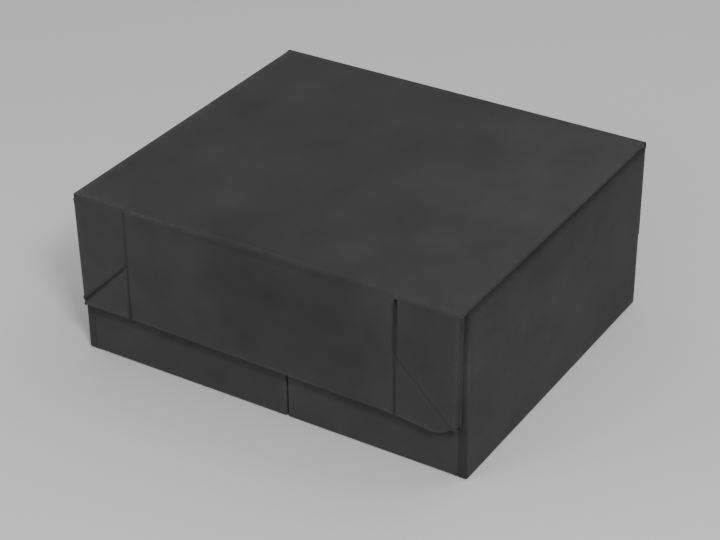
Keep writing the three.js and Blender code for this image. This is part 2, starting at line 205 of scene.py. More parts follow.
@dataclass(frozen=True)
class Suede:
    """Microfibre cloth with a suede nap: soft patches where the nap lies, fibres, worn rims that
    also carry a painted highlight, painted shade, and patches of painted light and shade.

    Attributes:
        name: The material's name.
        low: The colour where the nap lies away.
        high: The colour where the nap catches light.
        patch: The size of the soft patches.
        grain: The size of the fibre clumps.
        nap: The height of the nap's relief.
        sheen: How much the fibres' ends catch light from aside.
        wear: How far the cloth along a board's rim turns to its worn colour, which is wear together
            with a painted highlight.
        worn_and_lit: The colour of frayed cloth with a painted highlight, as a multiple of high.
        shaded_tone: The colour of painted shade in creases and along shaded edges, as a multiple of
            low.
        shares: The shares of the patches, the strokes and the clumps in the tone.
    """

    name: str
    low: float
    high: float
    patch: float = 0.055
    grain: float = 0.0016
    nap: float = 0.00035
    sheen: float = 0.05
    wear: float = 0.9
    worn_and_lit: float = 1.7
    shaded_tone: float = 0.55
    shares: Place3 = (0.62, 0.24, 0.16)

    def make(self) -> Material:
        """Builds the material's nodes.

        Returns:
            The material.
        """
        sheen = {"Sheen_Weight": self.sheen, "Sheen_Roughness": 0.45}
        shader = Shader(self.name, Specular_IOR_Level=0.12, **sheen)
        nodes, place = shader.nodes, shader.place
        patches = nodes.noise(place, 1 / self.patch, 3.0, 0.55, 0.15)
        lie = {"Scale": (1.0, 0.4, 1.6), "Rotation": (0.2, 0.1, 0.5)}
        brushed = nodes.out("ShaderNodeMapping", i0=place, **lie)
        nap_strokes_and_light = nodes.noise(brushed, 2.6 / self.patch, 3.0, 0.5, 0.2)
        clumps = nodes.noise(place, 1 / self.grain, 3.0, 0.6)
        fibres = nodes.noise(place, 3.6 / self.grain, 2.0, 0.6)
        tone = nodes.sum("MULTIPLY", nap_strokes_and_light, self.shares[1])
        tone = nodes.sum("MULTIPLY_ADD", patches, self.shares[0], tone)
        tone = nodes.sum("MULTIPLY_ADD", clumps, self.shares[2], tone)
        middle = (self.low + self.high) / 2
        tones = ((0.3, self.low, -0.012), (0.52, middle, 0.006), (0.78, self.high, 0.012))
        colour = shader.tones(tone, *((at, shade(grey, warmth)) for at, grey, warmth in tones))
        relief = nodes.sum("MULTIPLY_ADD", fibres, 0.4, nodes.sum("MULTIPLY", clumps, 0.6))
        fine = nodes.out("ShaderNodeBump", Strength=0.5, Distance=self.nap, Height=relief)
        soft = {"Distance": self.nap * 3, "Height": nap_strokes_and_light, "Normal": fine}
        shader.material.diffuse_color = shade(middle)
        return shader.finish(
            Base_Color=self._used(nodes, place, clumps, colour),
            Normal=nodes.out("ShaderNodeBump", Strength=0.35, **soft),
            Roughness=nodes.ramp(patches, 0.3, 0.7, 0.96, 0.86),
        )

    def _used(self, nodes: NodeMaker, place: Any, clumps: Any, colour: Any) -> Any:
        """Frays the rims and paints highlights on them, more in some stretches than in others,
        paints shade in creases and on shaded edges, and paints patches of light and shade.

        Args:
            nodes: The material's nodes.
            place: The place on the object.
            clumps: The fibre clumps.
            colour: The cloth's own colour.

        Returns:
            The colour of the cloth with its wear and its painted light and shade.
        """
        rim, fold, nap_stroke_and_light = (
            nodes.add("ShaderNodeAttribute", {"attribute_name": name}).outputs["Fac"]
            for name in ("rim_wear", "fold_shade", "nap_and_painted_light")
        )
        stretches = nodes.ramp(nodes.noise(place, 22.0, 2.0), 0.35, 0.68, 0.35, 1.0)
        frayed_and_lit = nodes.sum("MULTIPLY", nodes.ramp(clumps, 0.45, 0.6, 0.12, 1.0), stretches)
        share = nodes.sum("MULTIPLY", nodes.sum("MULTIPLY", frayed_and_lit, self.wear), rim)
        # frayed rims, lightened also as a painted highlight
        colour = nodes.mix(share, colour, shade(self.high * self.worn_and_lit))
        # painted shade in creases and on shaded edges
        colour = nodes.mix(fold, colour, shade(self.low * self.shaded_tone))
        # patches of painted light and shade
        light = nodes.sum("ADD", nap_stroke_and_light, 1.0)
        return nodes.out("ShaderNodeVectorMath", {"operation": "SCALE"}, i0=colour, i3=light)


@dataclass(frozen=True)
class NickelPlate:
    """Nickel-plated magnet: faint brushing and small scuffs."""

    name: str
    dull: Colour = (0.46, 0.465, 0.47, 1.0)
    bright: Colour = (0.66, 0.665, 0.67, 1.0)

    def make(self) -> Material:
        """Builds the material's nodes.

        Returns:
            The material.
        """
        shader = Shader(self.name, Metallic=1.0)
        nodes = shader.nodes
        brushed = nodes.out("ShaderNodeMapping", i0=shader.place, Scale=(1.0, 1.0, 14.0))
        lines = nodes.noise(brushed, 600.0, 3.0)
        scuffs = nodes.noise(shader.place, 260.0, 4.0)
        shader.material.diffuse_color = (0.6, 0.61, 0.62, 1.0)
        return shader.finish(
            Base_Color=shader.tones(scuffs, (0.0, self.dull), (1.0, self.bright)),
            Roughness=nodes.ramp(lines, 0.3, 0.7, 0.22, 0.42),
            Normal=nodes.out("ShaderNodeBump", Strength=0.2, Distance=0.00005, Height=lines),
        )


@dataclass(frozen=True)
class StudioPaper:
    """The pale floor: matt paper with a faint tooth."""

    name: str
    tone: float

    def make(self) -> Material:
        """Builds the material's nodes.

        Returns:
            The material.
        """
        shader = Shader(self.name, Roughness=0.95, Specular_IOR_Level=0.1)
        tooth = shader.nodes.noise(shader.place, 700.0, 2.0)
        stops = ((0.0, shade(self.tone * 0.985)), (1.0, shade(self.tone)))
        return shader.finish(Base_Color=shader.tones(tooth, *stops))


class Finishes:
    """Every finish of the box, each made once."""

    def __init__(self) -> None:
        """Makes the materials."""
        self.outer = Suede("charcoal_suede", 0.036, 0.051).make()
        self.lining = Suede("smooth_lining", 0.019, 0.030, 0.08, 0.0009, 0.00012, 0.03, 0.3).make()
        self.felt = Suede("short_felt", 0.012, 0.024, 0.03, 0.0011, 0.0005, 0.12, 0.2).make()
        self.nickel = NickelPlate("nickel_plate").make()


# Flat outlines


class Facing(Enum):
    """The way a board's outer face looks. Each value is the board's own X, Y and Z in the frame."""

    UP = ((1, 0, 0), (0, 1, 0), (0, 0, 1))
    DOWN = ((1, 0, 0), (0, -1, 0), (0, 0, -1))
    FRONT = ((1, 0, 0), (0, 0, 1), (0, -1, 0))
    BACK = ((-1, 0, 0), (0, 0, 1), (0, 1, 0))
    RIGHT = ((0, 1, 0), (0, 0, 1), (1, 0, 0))
    LEFT = ((0, -1, 0), (0, 0, 1), (-1, 0, 0))

    def inward(self, place: Vector) -> Vector:
        """A place of the frame in the board's own axes."""
        return Matrix(self.value) @ place

    def outward(self, height: float) -> Matrix:
        """The turn and shift that set a board made flat on its own axes in the frame."""
        turn = Matrix(self.value).transposed()
        return Matrix.Translation(turn @ Vector((0, 0, height))) @ turn.to_4x4()


@dataclass(frozen=True)
class Slab:
    """The room of one or more CAD nodes, in the axes of a facing."""

    low: Vector
    high: Vector
    facing: Facing

    @classmethod
    def of(cls, facing: Facing, *nodes: str) -> "Slab":
        """Measures the nodes' boxes together.

        Args:
            facing: Whose axes to use.
            nodes: The CAD nodes.

        Returns:
            Their common room.
        """
        places = [facing.inward(corner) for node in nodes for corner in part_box(node)]
        low, high = (
            Vector([pick(place[n] for place in places) for n in range(3)]) for pick in (min, max)
        )
        return cls(low, high, facing)

    @property
    def thickness(self) -> float:
        """Along the facing's own Z."""
        return self.high.z - self.low.z

    @property
    def middle(self) -> float:
        """The height of its middle plane."""
        return (self.high.z + self.low.z) / 2

    def corners(self) -> list[Place]:
        """Its four corners, counter-clockwise."""
        low, high = self.low, self.high
        return [(low.x, low.y), (high.x, low.y), (high.x, high.y), (low.x, high.y)]


def rounded(corners: Sequence[Place], radius: float) -> list[Place]:
    """Rounds the corners of a closed outline, apart from corners that are nearly straight.

    Args:
        corners: The outline, counter-clockwise.
        radius: Each corner's radius.

    Returns:
        The new outline.
    """
    points: list[Place] = []
    for index, corner in enumerate(corners):
        here = np.array(corner)
        backward = np.array(corners[index - 1]) - here
        forward = np.array(corners[(index + 1) % len(corners)]) - here
        room = min(np.linalg.norm(backward), np.linalg.norm(forward)) * 0.49
        backward, forward = backward / np.linalg.norm(backward), forward / np.linalg.norm(forward)
        angle = math.acos(float(np.clip(backward @ forward, -1, 1)))
        if angle > math.radians(160):
            points.append(corner)
            continue
        reach = min(radius / math.tan(angle / 2), room)
        turn = reach * math.tan(angle / 2)
        way = (backward + forward) / np.linalg.norm(backward + forward)
        centre = here + way * turn / math.sin(angle / 2)
        first, last = here + backward * reach - centre, here + forward * reach - centre
        start = math.atan2(first[1], first[0])
        sweep = math.remainder(math.atan2(last[1], last[0]) - start, math.tau)
        for step in range(ARC_STEPS + 1):
            at = start + sweep * step / ARC_STEPS
            points.append((centre[0] + turn * math.cos(at), centre[1] + turn * math.sin(at)))
    return points


def divided(points: Sequence[Place], spacing: float) -> np.ndarray:
    """Cuts a closed outline's long sides into even lengths.

    Args:
        points: The outline.
        spacing: About how long those lengths are.

    Returns:
        The outline with the new points.
    """
    parts = []
    for index, point in enumerate(points):
        start, end = np.array(point), np.array(points[(index + 1) % len(points)])
        count = max(1, round(float(np.linalg.norm(end - start)) / spacing))
        parts.append(start + (end - start) * (np.arange(count) / count)[:, None])
    return np.concatenate(parts)


def inset(points: np.ndarray, depth: float) -> np.ndarray:
    """Draws a closed outline inwards, with mitred corners.

    Args:
        points: The outline, counter-clockwise.
        depth: How far.

    Returns:
        The new outline.
    """
    along = np.roll(points, -1, 0) - points
    along /= np.linalg.norm(along, axis=1)[:, None]
    normal = np.stack([-along[:, 1], along[:, 0]], 1)
    before = np.roll(normal, 1, 0)
    share = 1 + (normal * before).sum(1)
    return points + depth * (normal + before) / np.maximum(share, 0.2)[:, None]


def depth_inside(places: np.ndarray, outline: np.ndarray) -> np.ndarray:
    """Measures how far places lie inside a closed outline.

    Args:
        places: The places.
        outline: The outline.

    Returns:
        Each place's distance from the outline, negative outside it.
    """
    start, end = outline, np.roll(outline, -1, 0)
    side = end - start
    reach = places[:, None, :] - start[None]
    share = np.clip((reach * side).sum(2) / (side * side).sum(1), 0, 1)
    distance = np.linalg.norm(reach - share[..., None] * side, axis=2).min(1)
    x, y = places[:, :1], places[:, 1:]
    crosses = (start[:, 1] > y) != (end[:, 1] > y)
    rise = np.where(side[:, 1] == 0, 1, side[:, 1])
    within = (crosses & (x < start[:, 0] + (y - start[:, 1]) / rise * side[:, 0])).sum(1) % 2 == 1
    return np.where(within, distance, -distance)


# Boards wrapped in cloth


class WrapTree(NodeMaker):
    """The Geometry Nodes tree that turns a flat sheet into a board wrapped in cloth.

    The sheet is lifted to a front and a back face. Both fall away at the rim as a quarter circle
    of the cloth's turn, a straight side joins them, and soft unevenness and a crease are added.
    """

    INPUTS = {
        "NodeSocketGeometry": ("Sheet",),
        "NodeSocketFloat": (
            "Thickness", "Softness", "Turn in", "Turn step",
            "Crease place", "Crease depth", "Rim mark width", "Seed",
        ),
        "NodeSocketMaterial": ("Cloth", "Lining"),
    }
    SOFT_SIZE = 0.07  # of the unevenness
    CALM_RIM = 0.004  # how far in from the rim it begins
    FULL_SWELL = 0.022  # how far in it is full
    CREASE_HALF = 0.0012  # half a crease's width
    STEP_HALF = 0.0002  # half the width of the step down to the lining

    def __init__(self) -> None:
        """Builds the tree."""
        super().__init__(bpy.data.node_groups.new("wrapped_board", "GeometryNodeTree"))
        for kind, names in self.INPUTS.items():
            for name in names:
                self.tree.interface.new_socket(name, in_out="INPUT", socket_type=kind)
        self.tree.interface.new_socket("Board", in_out="OUTPUT", socket_type="NodeSocketGeometry")
        self.given = self.add("NodeGroupInput").outputs
        self.half = self.sum("MULTIPLY", self.given["Thickness"], 0.5)
        self.place = self.out("GeometryNodeInputPosition")
        self.away = self._kept("rim_distance")
        self.front_turn, self.back_turn = self._kept("front_turn"), self._kept("back_turn")
        sheet = self._measured(self.given["Sheet"])
        front = self._moved(sheet, self._front_height())
        back = self.out("GeometryNodeFlipFaces", Mesh=self._moved(sheet, self._back_height()))
        whole = self.add("GeometryNodeJoinGeometry")
        for part in (front, back, self._side(sheet)):
            self.tree.links.new(part, whole.inputs[0])
        self._finish(whole.outputs[0])

    def _rim(self, mesh: Any) -> Any:
        """Finds the edges along the sheet's outline.

        Args:
            mesh: The sheet.

        Returns:
            Those edges, as a geometry of their own.
        """
        count = self.out("GeometryNodeInputMeshEdgeNeighbors")
        settings = {"data_type": "INT", "operation": "EQUAL"}
        alone = self.out("FunctionNodeCompare", settings, i2=count, i3=1)
        settings = {"domain": "EDGE"}
        return self.out("GeometryNodeSeparateGeometry", settings, Geometry=mesh, Selection=alone)

    def _measured(self, mesh: Any) -> Any:
        """Stores each point's distance from the rim, and the wear with its painted highlight that
        goes with it.

        Args:
            mesh: The sheet.

        Returns:
            The sheet with both.
        """
        near = self.add("GeometryNodeProximity", {"target_element": "EDGES"}, i0=self._rim(mesh))
        distance = near.outputs["Distance"]
        mesh = self._stored(mesh, "rim_distance", distance)
        share = self.sum("DIVIDE", distance, self.given["Rim mark width"])
        wear = self.sum("MULTIPLY", self.ramp(share, 0.15, 0.5, 0.0, 1.0), self._kept("wear"))
        wear = self.sum("MULTIPLY", self.ramp(share, 0.6, 1.0, 1.0, 0.0), wear)
        return self._stored(mesh, "rim_wear", wear)

    def _stored(self, mesh: Any, name: str, value: Any) -> Any:
        """Stores a number at each point under a name."""
        sockets = {"Geometry": mesh, "Name": name, "Value": value}
        return self.out("GeometryNodeStoreNamedAttribute", {"data_type": "FLOAT"}, **sockets)

    def _kept(self, name: str) -> Any:
        """Reads a stored number."""
        node = self.add("GeometryNodeInputNamedAttribute", {"data_type": "FLOAT"}, Name=name)
        return node.outputs["Attribute"]

    def _shoulder(self, turn: Any) -> Any:
        """Turns a face's rim by a quarter circle.

        Args:
            turn: The circle's radius.

        Returns:
            The face's height over the middle plane.
        """
        left = self.sum("SUBTRACT", turn, self.sum("MINIMUM", self.away, turn))
        squares = (self.sum("MULTIPLY", side, side) for side in (turn, left))
        root = self.sum("SQRT", self.sum("MAXIMUM", self.sum("SUBTRACT", *squares), 0.0))
        return self.sum("ADD", self.sum("SUBTRACT", self.half, turn), root)

    def _swell(self, shift: float) -> Any:
        """Makes a face softly uneven, apart from its rim.

        Args:
            shift: Tells the front face's unevenness from the back face's.

        Returns:
            The height to add.
        """
        seed = self.sum("ADD", self.given["Seed"], shift)
        sockets = {"Vector": self.place, "W": seed, "Scale": 1 / self.SOFT_SIZE, "Detail": 1.5}
        noise = self.out("ShaderNodeTexNoise", {"noise_dimensions": "4D"}, **sockets)
        height = self.sum("SUBTRACT", noise, 0.5)
        calm = self.ramp(self.away, self.CALM_RIM, self.FULL_SWELL, 0.0, 1.0)
        return self.sum("MULTIPLY", height, self.sum("MULTIPLY", calm, self.given["Softness"]))

    def _crease(self) -> Any:
        """Sinks a level crease across the face.

        Returns:
            The depth to take away.
        """
        away = self.sum("SUBTRACT", self.parts(self.place)[1], self.given["Crease place"])
        share = self.sum("DIVIDE", away, self.CREASE_HALF)
        power = self.sum("MULTIPLY", share, self.sum("MULTIPLY", share, -1.0))
        return self.sum("MULTIPLY", self.sum("POWER", math.e, power), self.given["Crease depth"])

    def _front_height(self) -> Any:
        """How far the front face's points rise."""
        height = self.sum("ADD", self._shoulder(self.front_turn), self._swell(0.0))
        return self.sum("SUBTRACT", height, self._crease())

    def _back_height(self) -> Any:
        """Sinks the back face, with a step where the lining begins.

        Returns:
            Its height, which is negative.
        """
        height = self.sum("ADD", self._shoulder(self.back_turn), self._swell(7.0))
        low = self.sum("SUBTRACT", self.given["Turn in"], self.STEP_HALF)
        high = self.sum("ADD", self.given["Turn in"], self.STEP_HALF)
        step = self.ramp(self.away, low, high, 0.0, 1.0)
        return self.sum("SUBTRACT", self.sum("MULTIPLY", step, self.given["Turn step"]), height)

    def _moved(self, mesh: Any, height: Any) -> Any:
        """Moves a mesh's points up by a height."""
        offset = self.out("ShaderNodeCombineXYZ", Z=height)
        return self.out("GeometryNodeSetPosition", Geometry=mesh, Offset=offset)

    def _side(self, sheet: Any) -> Any:
        """Draws the straight side between the two turned rims.

        Args:
            sheet: The flat sheet.

        Returns:
            The side.
        """
        top = self.sum("SUBTRACT", self.sum("SUBTRACT", self.half, self.front_turn), self._crease())
        raised = self._moved(self._rim(sheet), top)
        down = self.add("GeometryNodeExtrudeMesh", {"mode": "EDGES"}, Mesh=raised, Offset_Scale=0.0)
        mesh, lower = down.outputs["Mesh"], down.outputs["Top"]
        x, y, _ = self.parts(self.place)
        foot = self.sum("SUBTRACT", self.back_turn, self.half)
        ends = self.out("ShaderNodeCombineXYZ", X=x, Y=y, Z=foot)
        return self.out("GeometryNodeSetPosition", Geometry=mesh, Selection=lower, Position=ends)

    def _finish(self, mesh: Any) -> None:
        """Joins the faces at their rims, and gives the cloth and the lining their places.

        Args:
            mesh: The faces and the side.
        """
        joined = self.out("GeometryNodeMergeByDistance", Geometry=mesh, Distance=1e-6)
        smooth = self.out("GeometryNodeSetShadeSmooth", Geometry=joined)
        sockets = {"Geometry": smooth, "Material": self.given["Cloth"]}
        cloth = self.out("GeometryNodeSetMaterial", **sockets)
        inner = self.sum("GREATER_THAN", self.away, self.given["Turn in"])
        rise = self.parts(self.out("GeometryNodeInputNormal"))[2]
        lined = self.sum("MULTIPLY", inner, self.sum("LESS_THAN", rise, -0.5))
        sockets = {"Geometry": cloth, "Selection": lined, "Material": self.given["Lining"]}
        self.add("NodeGroupOutput", Board=self.out("GeometryNodeSetMaterial", **sockets))


@dataclass(frozen=True)
class NapAndLightPatch:
    """A soft oval of painted light, of painted shade where its share is negative; some also stand
    for nap that lies another way.

    Attributes:
        middle: Its middle on the flat sheet.
        reach: How far it reaches from there along each axis.
        share: How much lighter the cloth is in its middle; darker where it is negative.
    """

    middle: Place
    reach: Place
    share: float

    def at(self, places: np.ndarray) -> np.ndarray:
        """Its strength at each place of the sheet."""
        away = (((places - np.array(self.middle)) / np.array(self.reach)) ** 2).sum(1)
        return self.share * np.clip(1 - away, 0, 1) ** 2


@dataclass(frozen=True)
class Board:
    """One board wrapped in cloth. Its sides are named by the letters l, r, b and t.

    Attributes:
        name: The piece's name.
        slab: The room that it fills; its facing gives the outer face.
        corners: Its outline in the facing's axes; without it, the slab's rectangle.
        corner: The radius of the outline's corners.
        turn: The cloth's turn round the outer face's rim.
        back_turn: The turn round the inner face's rim.
        tight: The sides where the outer turn shrinks to tight_turn.
        tight_turn: That smaller turn.
        turn_in: How much cloth is turned in on the inner face, round the lining.
        softness: The unevenness of its faces.
        crease: Where a level crease crosses it, if one does.
        crease_depth: The crease's depth; below zero it is a ridge.
        worn_and_lit: The sides where the outer face's rim is frayed and gets a painted highlight.
        wear: How frayed and how brightly highlighted it is there.
        wear_width: How far in from the rim it is frayed and highlighted.
        wear_right: The share of the wear and painted highlight that is left at the sheet's right
            end.
        rim_mark_reach: How far in from those sides a rim may lie and still be frayed and
            highlighted.
        shaded: The sides that get painted shade.
        press: How dark that painted shade is.
        press_top: How high on the flat sheet the painted shade reaches.
        nap_strokes_and_light: Its patches of painted light and shade, some also standing for nap
            that lies another way.
        spacing: The mesh's spacing.
        seed: Chooses its unevenness.
    """

    name: str
    slab: Slab
    corners: tuple[Place, ...] = ()
    corner: float = 0.0024
    turn: float = 0.0016
    back_turn: float = 0.001
    tight: str = ""
    tight_turn: float = 0.00015
    turn_in: float = UNLINED
    softness: float = 0.0003
    crease: float | None = None
    crease_depth: float = 0.00012
    worn_and_lit: str = "lrbt"
    wear: float = 0.3
    wear_width: float = 0.0022
    wear_right: float = 1.0
    rim_mark_reach: float = 0.008
    shaded: str = ""
    press: float = 0.5
    press_top: float = 1.0
    nap_strokes_and_light: tuple[NapAndLightPatch, ...] = ()
    spacing: float = 0.006
    seed: float = 0.0
    TIGHT_REACH: ClassVar[Place] = (0.001, 0.003)  # from a tight side, where its turn is left
    CALM_REACH: ClassVar[Place] = (0.004, 0.006)  # and where the wear begins
    SHADE_REACH: ClassVar[Place] = (0.0002, 0.0008)  # from a shaded side, where its painted shade ends
    SHADE_FADE: ClassVar[float] = 0.004  # from press_top down to the full painted shade
    RING_GAP: ClassVar[float] = 0.00004  # the least between two rings

    @property
    def lined(self) -> bool:
        """Whether its inner face has a lining."""
        return self.turn_in < UNLINED

    def _fitted(self, turn: float) -> float:
        """A turn, or as much of it as the board is thick enough for."""
        return min(turn, self.slab.thickness / 2 - HAIR)

    def _near(self, places: np.ndarray, letters: str, full: float, none: float) -> np.ndarray:
        """How near each place is to some sides.

        Args:
            places: The places.
            letters: The sides.
            full: The distance up to which it is 1.
            none: The distance at which it has fallen to 0.

        Returns:
            The nearness, from 0 to 1.
        """
        low, high = places.min(0), places.max(0)
        sides = {"l": (0, low[0]), "r": (0, high[0]), "b": (1, low[1]), "t": (1, high[1])}
        share = np.zeros(len(places))
        for axis, edge in (sides[letter] for letter in letters):
            away = abs(places[:, axis] - edge)
            share = np.maximum(share, np.clip((none - away) / (none - full), 0, 1))
        return share

    def _rings(self, outline: np.ndarray) -> list[np.ndarray]:
        """Draws the outline in, to follow the rim's quarter circles.

        Args:
            outline: The sheet's outline.

        Returns:
            The outline and its copies, from the outside inwards.
        """
        turns = {self._fitted(turn) for turn in (self.turn, self.back_turn)}
        if self.tight:
            turns.add(self._fitted(self.tight_turn))
        angles = np.radians([22, 44, 66, 90])
        depths = sorted(float(turn * (1 - math.cos(angle))) for turn in turns for angle in angles)
        kept: list[float] = []
        for depth in depths:
            if depth - (kept[-1] if kept else 0) > self.RING_GAP:
                kept.append(depth)
        return [outline] + [inset(outline, depth) for depth in kept]

    def _traces(self, flat: np.ndarray) -> dict[str, np.ndarray]:
        """Works out the turns, the wear with its painted highlight, the painted shade and the
        patches of painted light and shade.

        Args:
            flat: The sheet's points.

        Returns:
            Each attribute's value at each point.
        """
        front = np.full(len(flat), self._fitted(self.turn))
        tight = self._near(flat, self.tight, *self.TIGHT_REACH)
        below = np.clip((self.press_top - flat[:, 1]) / self.SHADE_FADE, 0, 1)
        calm = 1 - self._near(flat, self.tight, *self.CALM_REACH)
        across = np.interp(flat[:, 0], (flat[:, 0].min(), flat[:, 0].max()), (1, self.wear_right))
        frayed_and_lit = self._near(flat, self.worn_and_lit, 0.75 * self.rim_mark_reach, self.rim_mark_reach)
        return {
            "front_turn": front + (self._fitted(self.tight_turn) - front) * tight,
            "back_turn": np.full(len(flat), self._fitted(self.back_turn)),
            "fold_shade": self._near(flat, self.shaded, *self.SHADE_REACH) * below * self.press,
            "wear": frayed_and_lit * calm * self.wear * across,
            "nap_and_painted_light": sum((nap_stroke_and_light.at(flat) for nap_stroke_and_light in self.nap_strokes_and_light), np.zeros(len(flat))),
        }

    def sheet(self) -> Mesh:
        """Makes the flat sheet that the tree lifts.

        Returns:
            The sheet, with its attributes stored at its points.
        """
        corners = list(self.corners) or self.slab.corners()
        outline = divided(rounded(corners, self.corner), self.spacing)
        loops = self._rings(outline)
        if self.lined:
            for depth in (self.turn_in - LINING_STEP, self.turn_in + LINING_STEP):
                seam = inset(np.array(corners), depth).tolist()
                loops.append(divided(seam, self.spacing))
        points = np.concatenate(loops + [self._inner_places(outline)]) / MM
        edges, start = [], 0
        for loop in loops:
            count = len(loop)
            edges += [(start + n, start + (n + 1) % count) for n in range(count)]
            start += count
        made = delaunay_2d_cdt([Vector(p) for p in points.tolist()], edges, [], 1, 0.0001, False)
        flat = np.array([tuple(p) for p in made[0]]) * MM
        middles = np.array([flat[list(face)].mean(0) for face in made[2]])
        faces = [face for face, depth in zip(made[2], depth_inside(middles, outline)) if depth > 0]
        mesh = bpy.data.meshes.new(self.name + "_sheet")
        mesh.from_pydata([(x, y, 0.0) for x, y in flat], [], faces)
        for name, values in self._traces(flat).items():
            mesh.attributes.new(name, "FLOAT", "POINT").data.foreach_set("value", values)
        return mesh

    def _inner_places(self, outline: np.ndarray) -> np.ndarray:
        """Fills the sheet inside its rings with an even grid, and with close rows along a crease.

        Args:
            outline: The sheet's outline.

        Returns:
            The points.
        """
        (left, bottom), (right, top) = outline.min(0), outline.max(0)
        across = np.arange(left, right, self.spacing) + self.spacing / 2
        along = np.arange(bottom, top, self.spacing) + self.spacing / 2
        if self.crease is not None:
            near = np.array([0, 0.4, 0.9, 1.5, 2.4, 3.8]) * MM
            along = along[abs(along - self.crease) > near[-1] + self.spacing / 3]
            along = np.concatenate([along, self.crease - near[1:], self.crease + near])
        grid = np.stack(np.meshgrid(across, along), -1).reshape(-1, 2)
        depth = depth_inside(grid, outline)
        clear = depth > max(self.turn, self.back_turn) + self.spacing / 3
        if self.lined:
            clear &= abs(depth - self.turn_in) > self.spacing / 3
        return grid[clear]

    def make(self, tree: WrapTree, cloth: Material, lining: Material) -> Any:
        """Lifts the sheet with the tree and sets the result in the frame.

        Args:
            tree: The tree that wraps boards.
            cloth: The outer cloth.
            lining: The cloth inside the turned-in rim.

        Returns:
            The finished piece, at the origin with its place in its mesh.
        """
        values = {
            "Thickness": self.slab.thickness,
            "Softness": self.softness,
            "Turn in": self.turn_in,
            "Turn step": LINING_STEP if self.lined else 0.0,
            "Crease place": self.crease or 0.0,
            "Crease depth": self.crease_depth if self.crease else 0.0,
            "Rim mark width": self.wear_width,
            "Seed": self.seed,
            "Cloth": cloth,
            "Lining": lining,
        }
        mesh = baked(self.name, self.sheet(), tree.tree, values)
        mesh.transform(self.slab.facing.outward(self.slab.middle))
        return placed(self.name, mesh)


def baked(name: str, mesh: Mesh, tree: NodeTree, values: dict[str, Any]) -> Mesh:
    """Runs a Geometry Nodes tree on a mesh.

    Args:
        name: The new mesh's name.
        mesh: What the tree starts from; it is removed.
        tree: The tree.
        values: The tree's inputs, by name.

    Returns:
        The tree's result as a plain closed mesh with outward faces.
    """
    source = placed(name + "_source", mesh)
    modifier = source.modifiers.new("make", "NODES")
    modifier.node_group = tree
    for item in tree.interface.items_tree:
        if item.in_out == "INPUT" and item.name in values:
            modifier[item.identifier] = values[item.name]
    graph = bpy.context.evaluated_depsgraph_get()
    graph.update()
    made = bpy.data.meshes.new_from_object(
        source.evaluated_get(graph), preserve_all_data_layers=True, depsgraph=graph
    )
    source.modifiers.remove(modifier)
    bpy.data.objects.remove(source)
    bpy.data.meshes.remove(mesh)
    made.name = name
    work = bmesh.new()
    work.from_mesh(made)
    bmesh.ops.recalc_face_normals(work, faces=work.faces)
    work.to_mesh(made)
    work.free()
    return made


def placed(name: str, mesh: ID) -> Object:
    """Puts a new object at the origin.

    Args:
        name: Its name.
        mesh: Its mesh, or a light's or a camera's data.

    Returns:
        The object.
    """
    piece = bpy.data.objects.new(name, mesh)
    bpy.context.scene.collection.objects.link(piece)
    return piece


# Strips of cloth over folds and grooves


def cloth_strip(
    name: str, upper: np.ndarray, lower: np.ndarray, cloth: Material, **shades: np.ndarray
) -> Object:
    """A closed strip of cloth between two sheets of points, with sharp rims.

    Args:
        name: The piece's name.
        upper: The outer sheet's points, in columns along the strip.
        lower: The inner sheet's points, in the same order.
        cloth: Its material.
        shades: For each attribute, its value at each point of a sheet.

    Returns:
        The piece.
    """
    columns, count = upper.shape[:2]
    work = bmesh.new()
    top, foot = ([[work.verts.new(p) for p in row] for row in sheet] for sheet in (upper, lower))
    rims = []
    for n in range(columns - 1):
        for m in range(count - 1):
            for rows in (top, foot):
                work.faces.new([rows[n][m], rows[n][m + 1], rows[n + 1][m + 1], rows[n + 1][m]])
        for m in (0, count - 1):
            rims.append(work.faces.new([top[n][m], top[n + 1][m], foot[n + 1][m], foot[n][m]]))
    for n in (0, columns - 1):
        for m in range(count - 1):
            rims.append(work.faces.new([top[n][m], top[n][m + 1], foot[n][m + 1], foot[n][m]]))
    bmesh.ops.recalc_face_normals(work, faces=work.faces)
    for face in work.faces:
        face.smooth = True
    for edge in {edge for face in rims for edge in face.edges}:
        edge.smooth = False
    mesh = bpy.data.meshes.new(name)
    work.to_mesh(mesh)
    work.free()
    for attribute, values in shades.items():
        both = np.concatenate([values.ravel(), values.ravel()])
        mesh.attributes.new(attribute, "FLOAT", "POINT").data.foreach_set("value", both)
    mesh.materials.append(cloth)
    return placed(name, mesh)


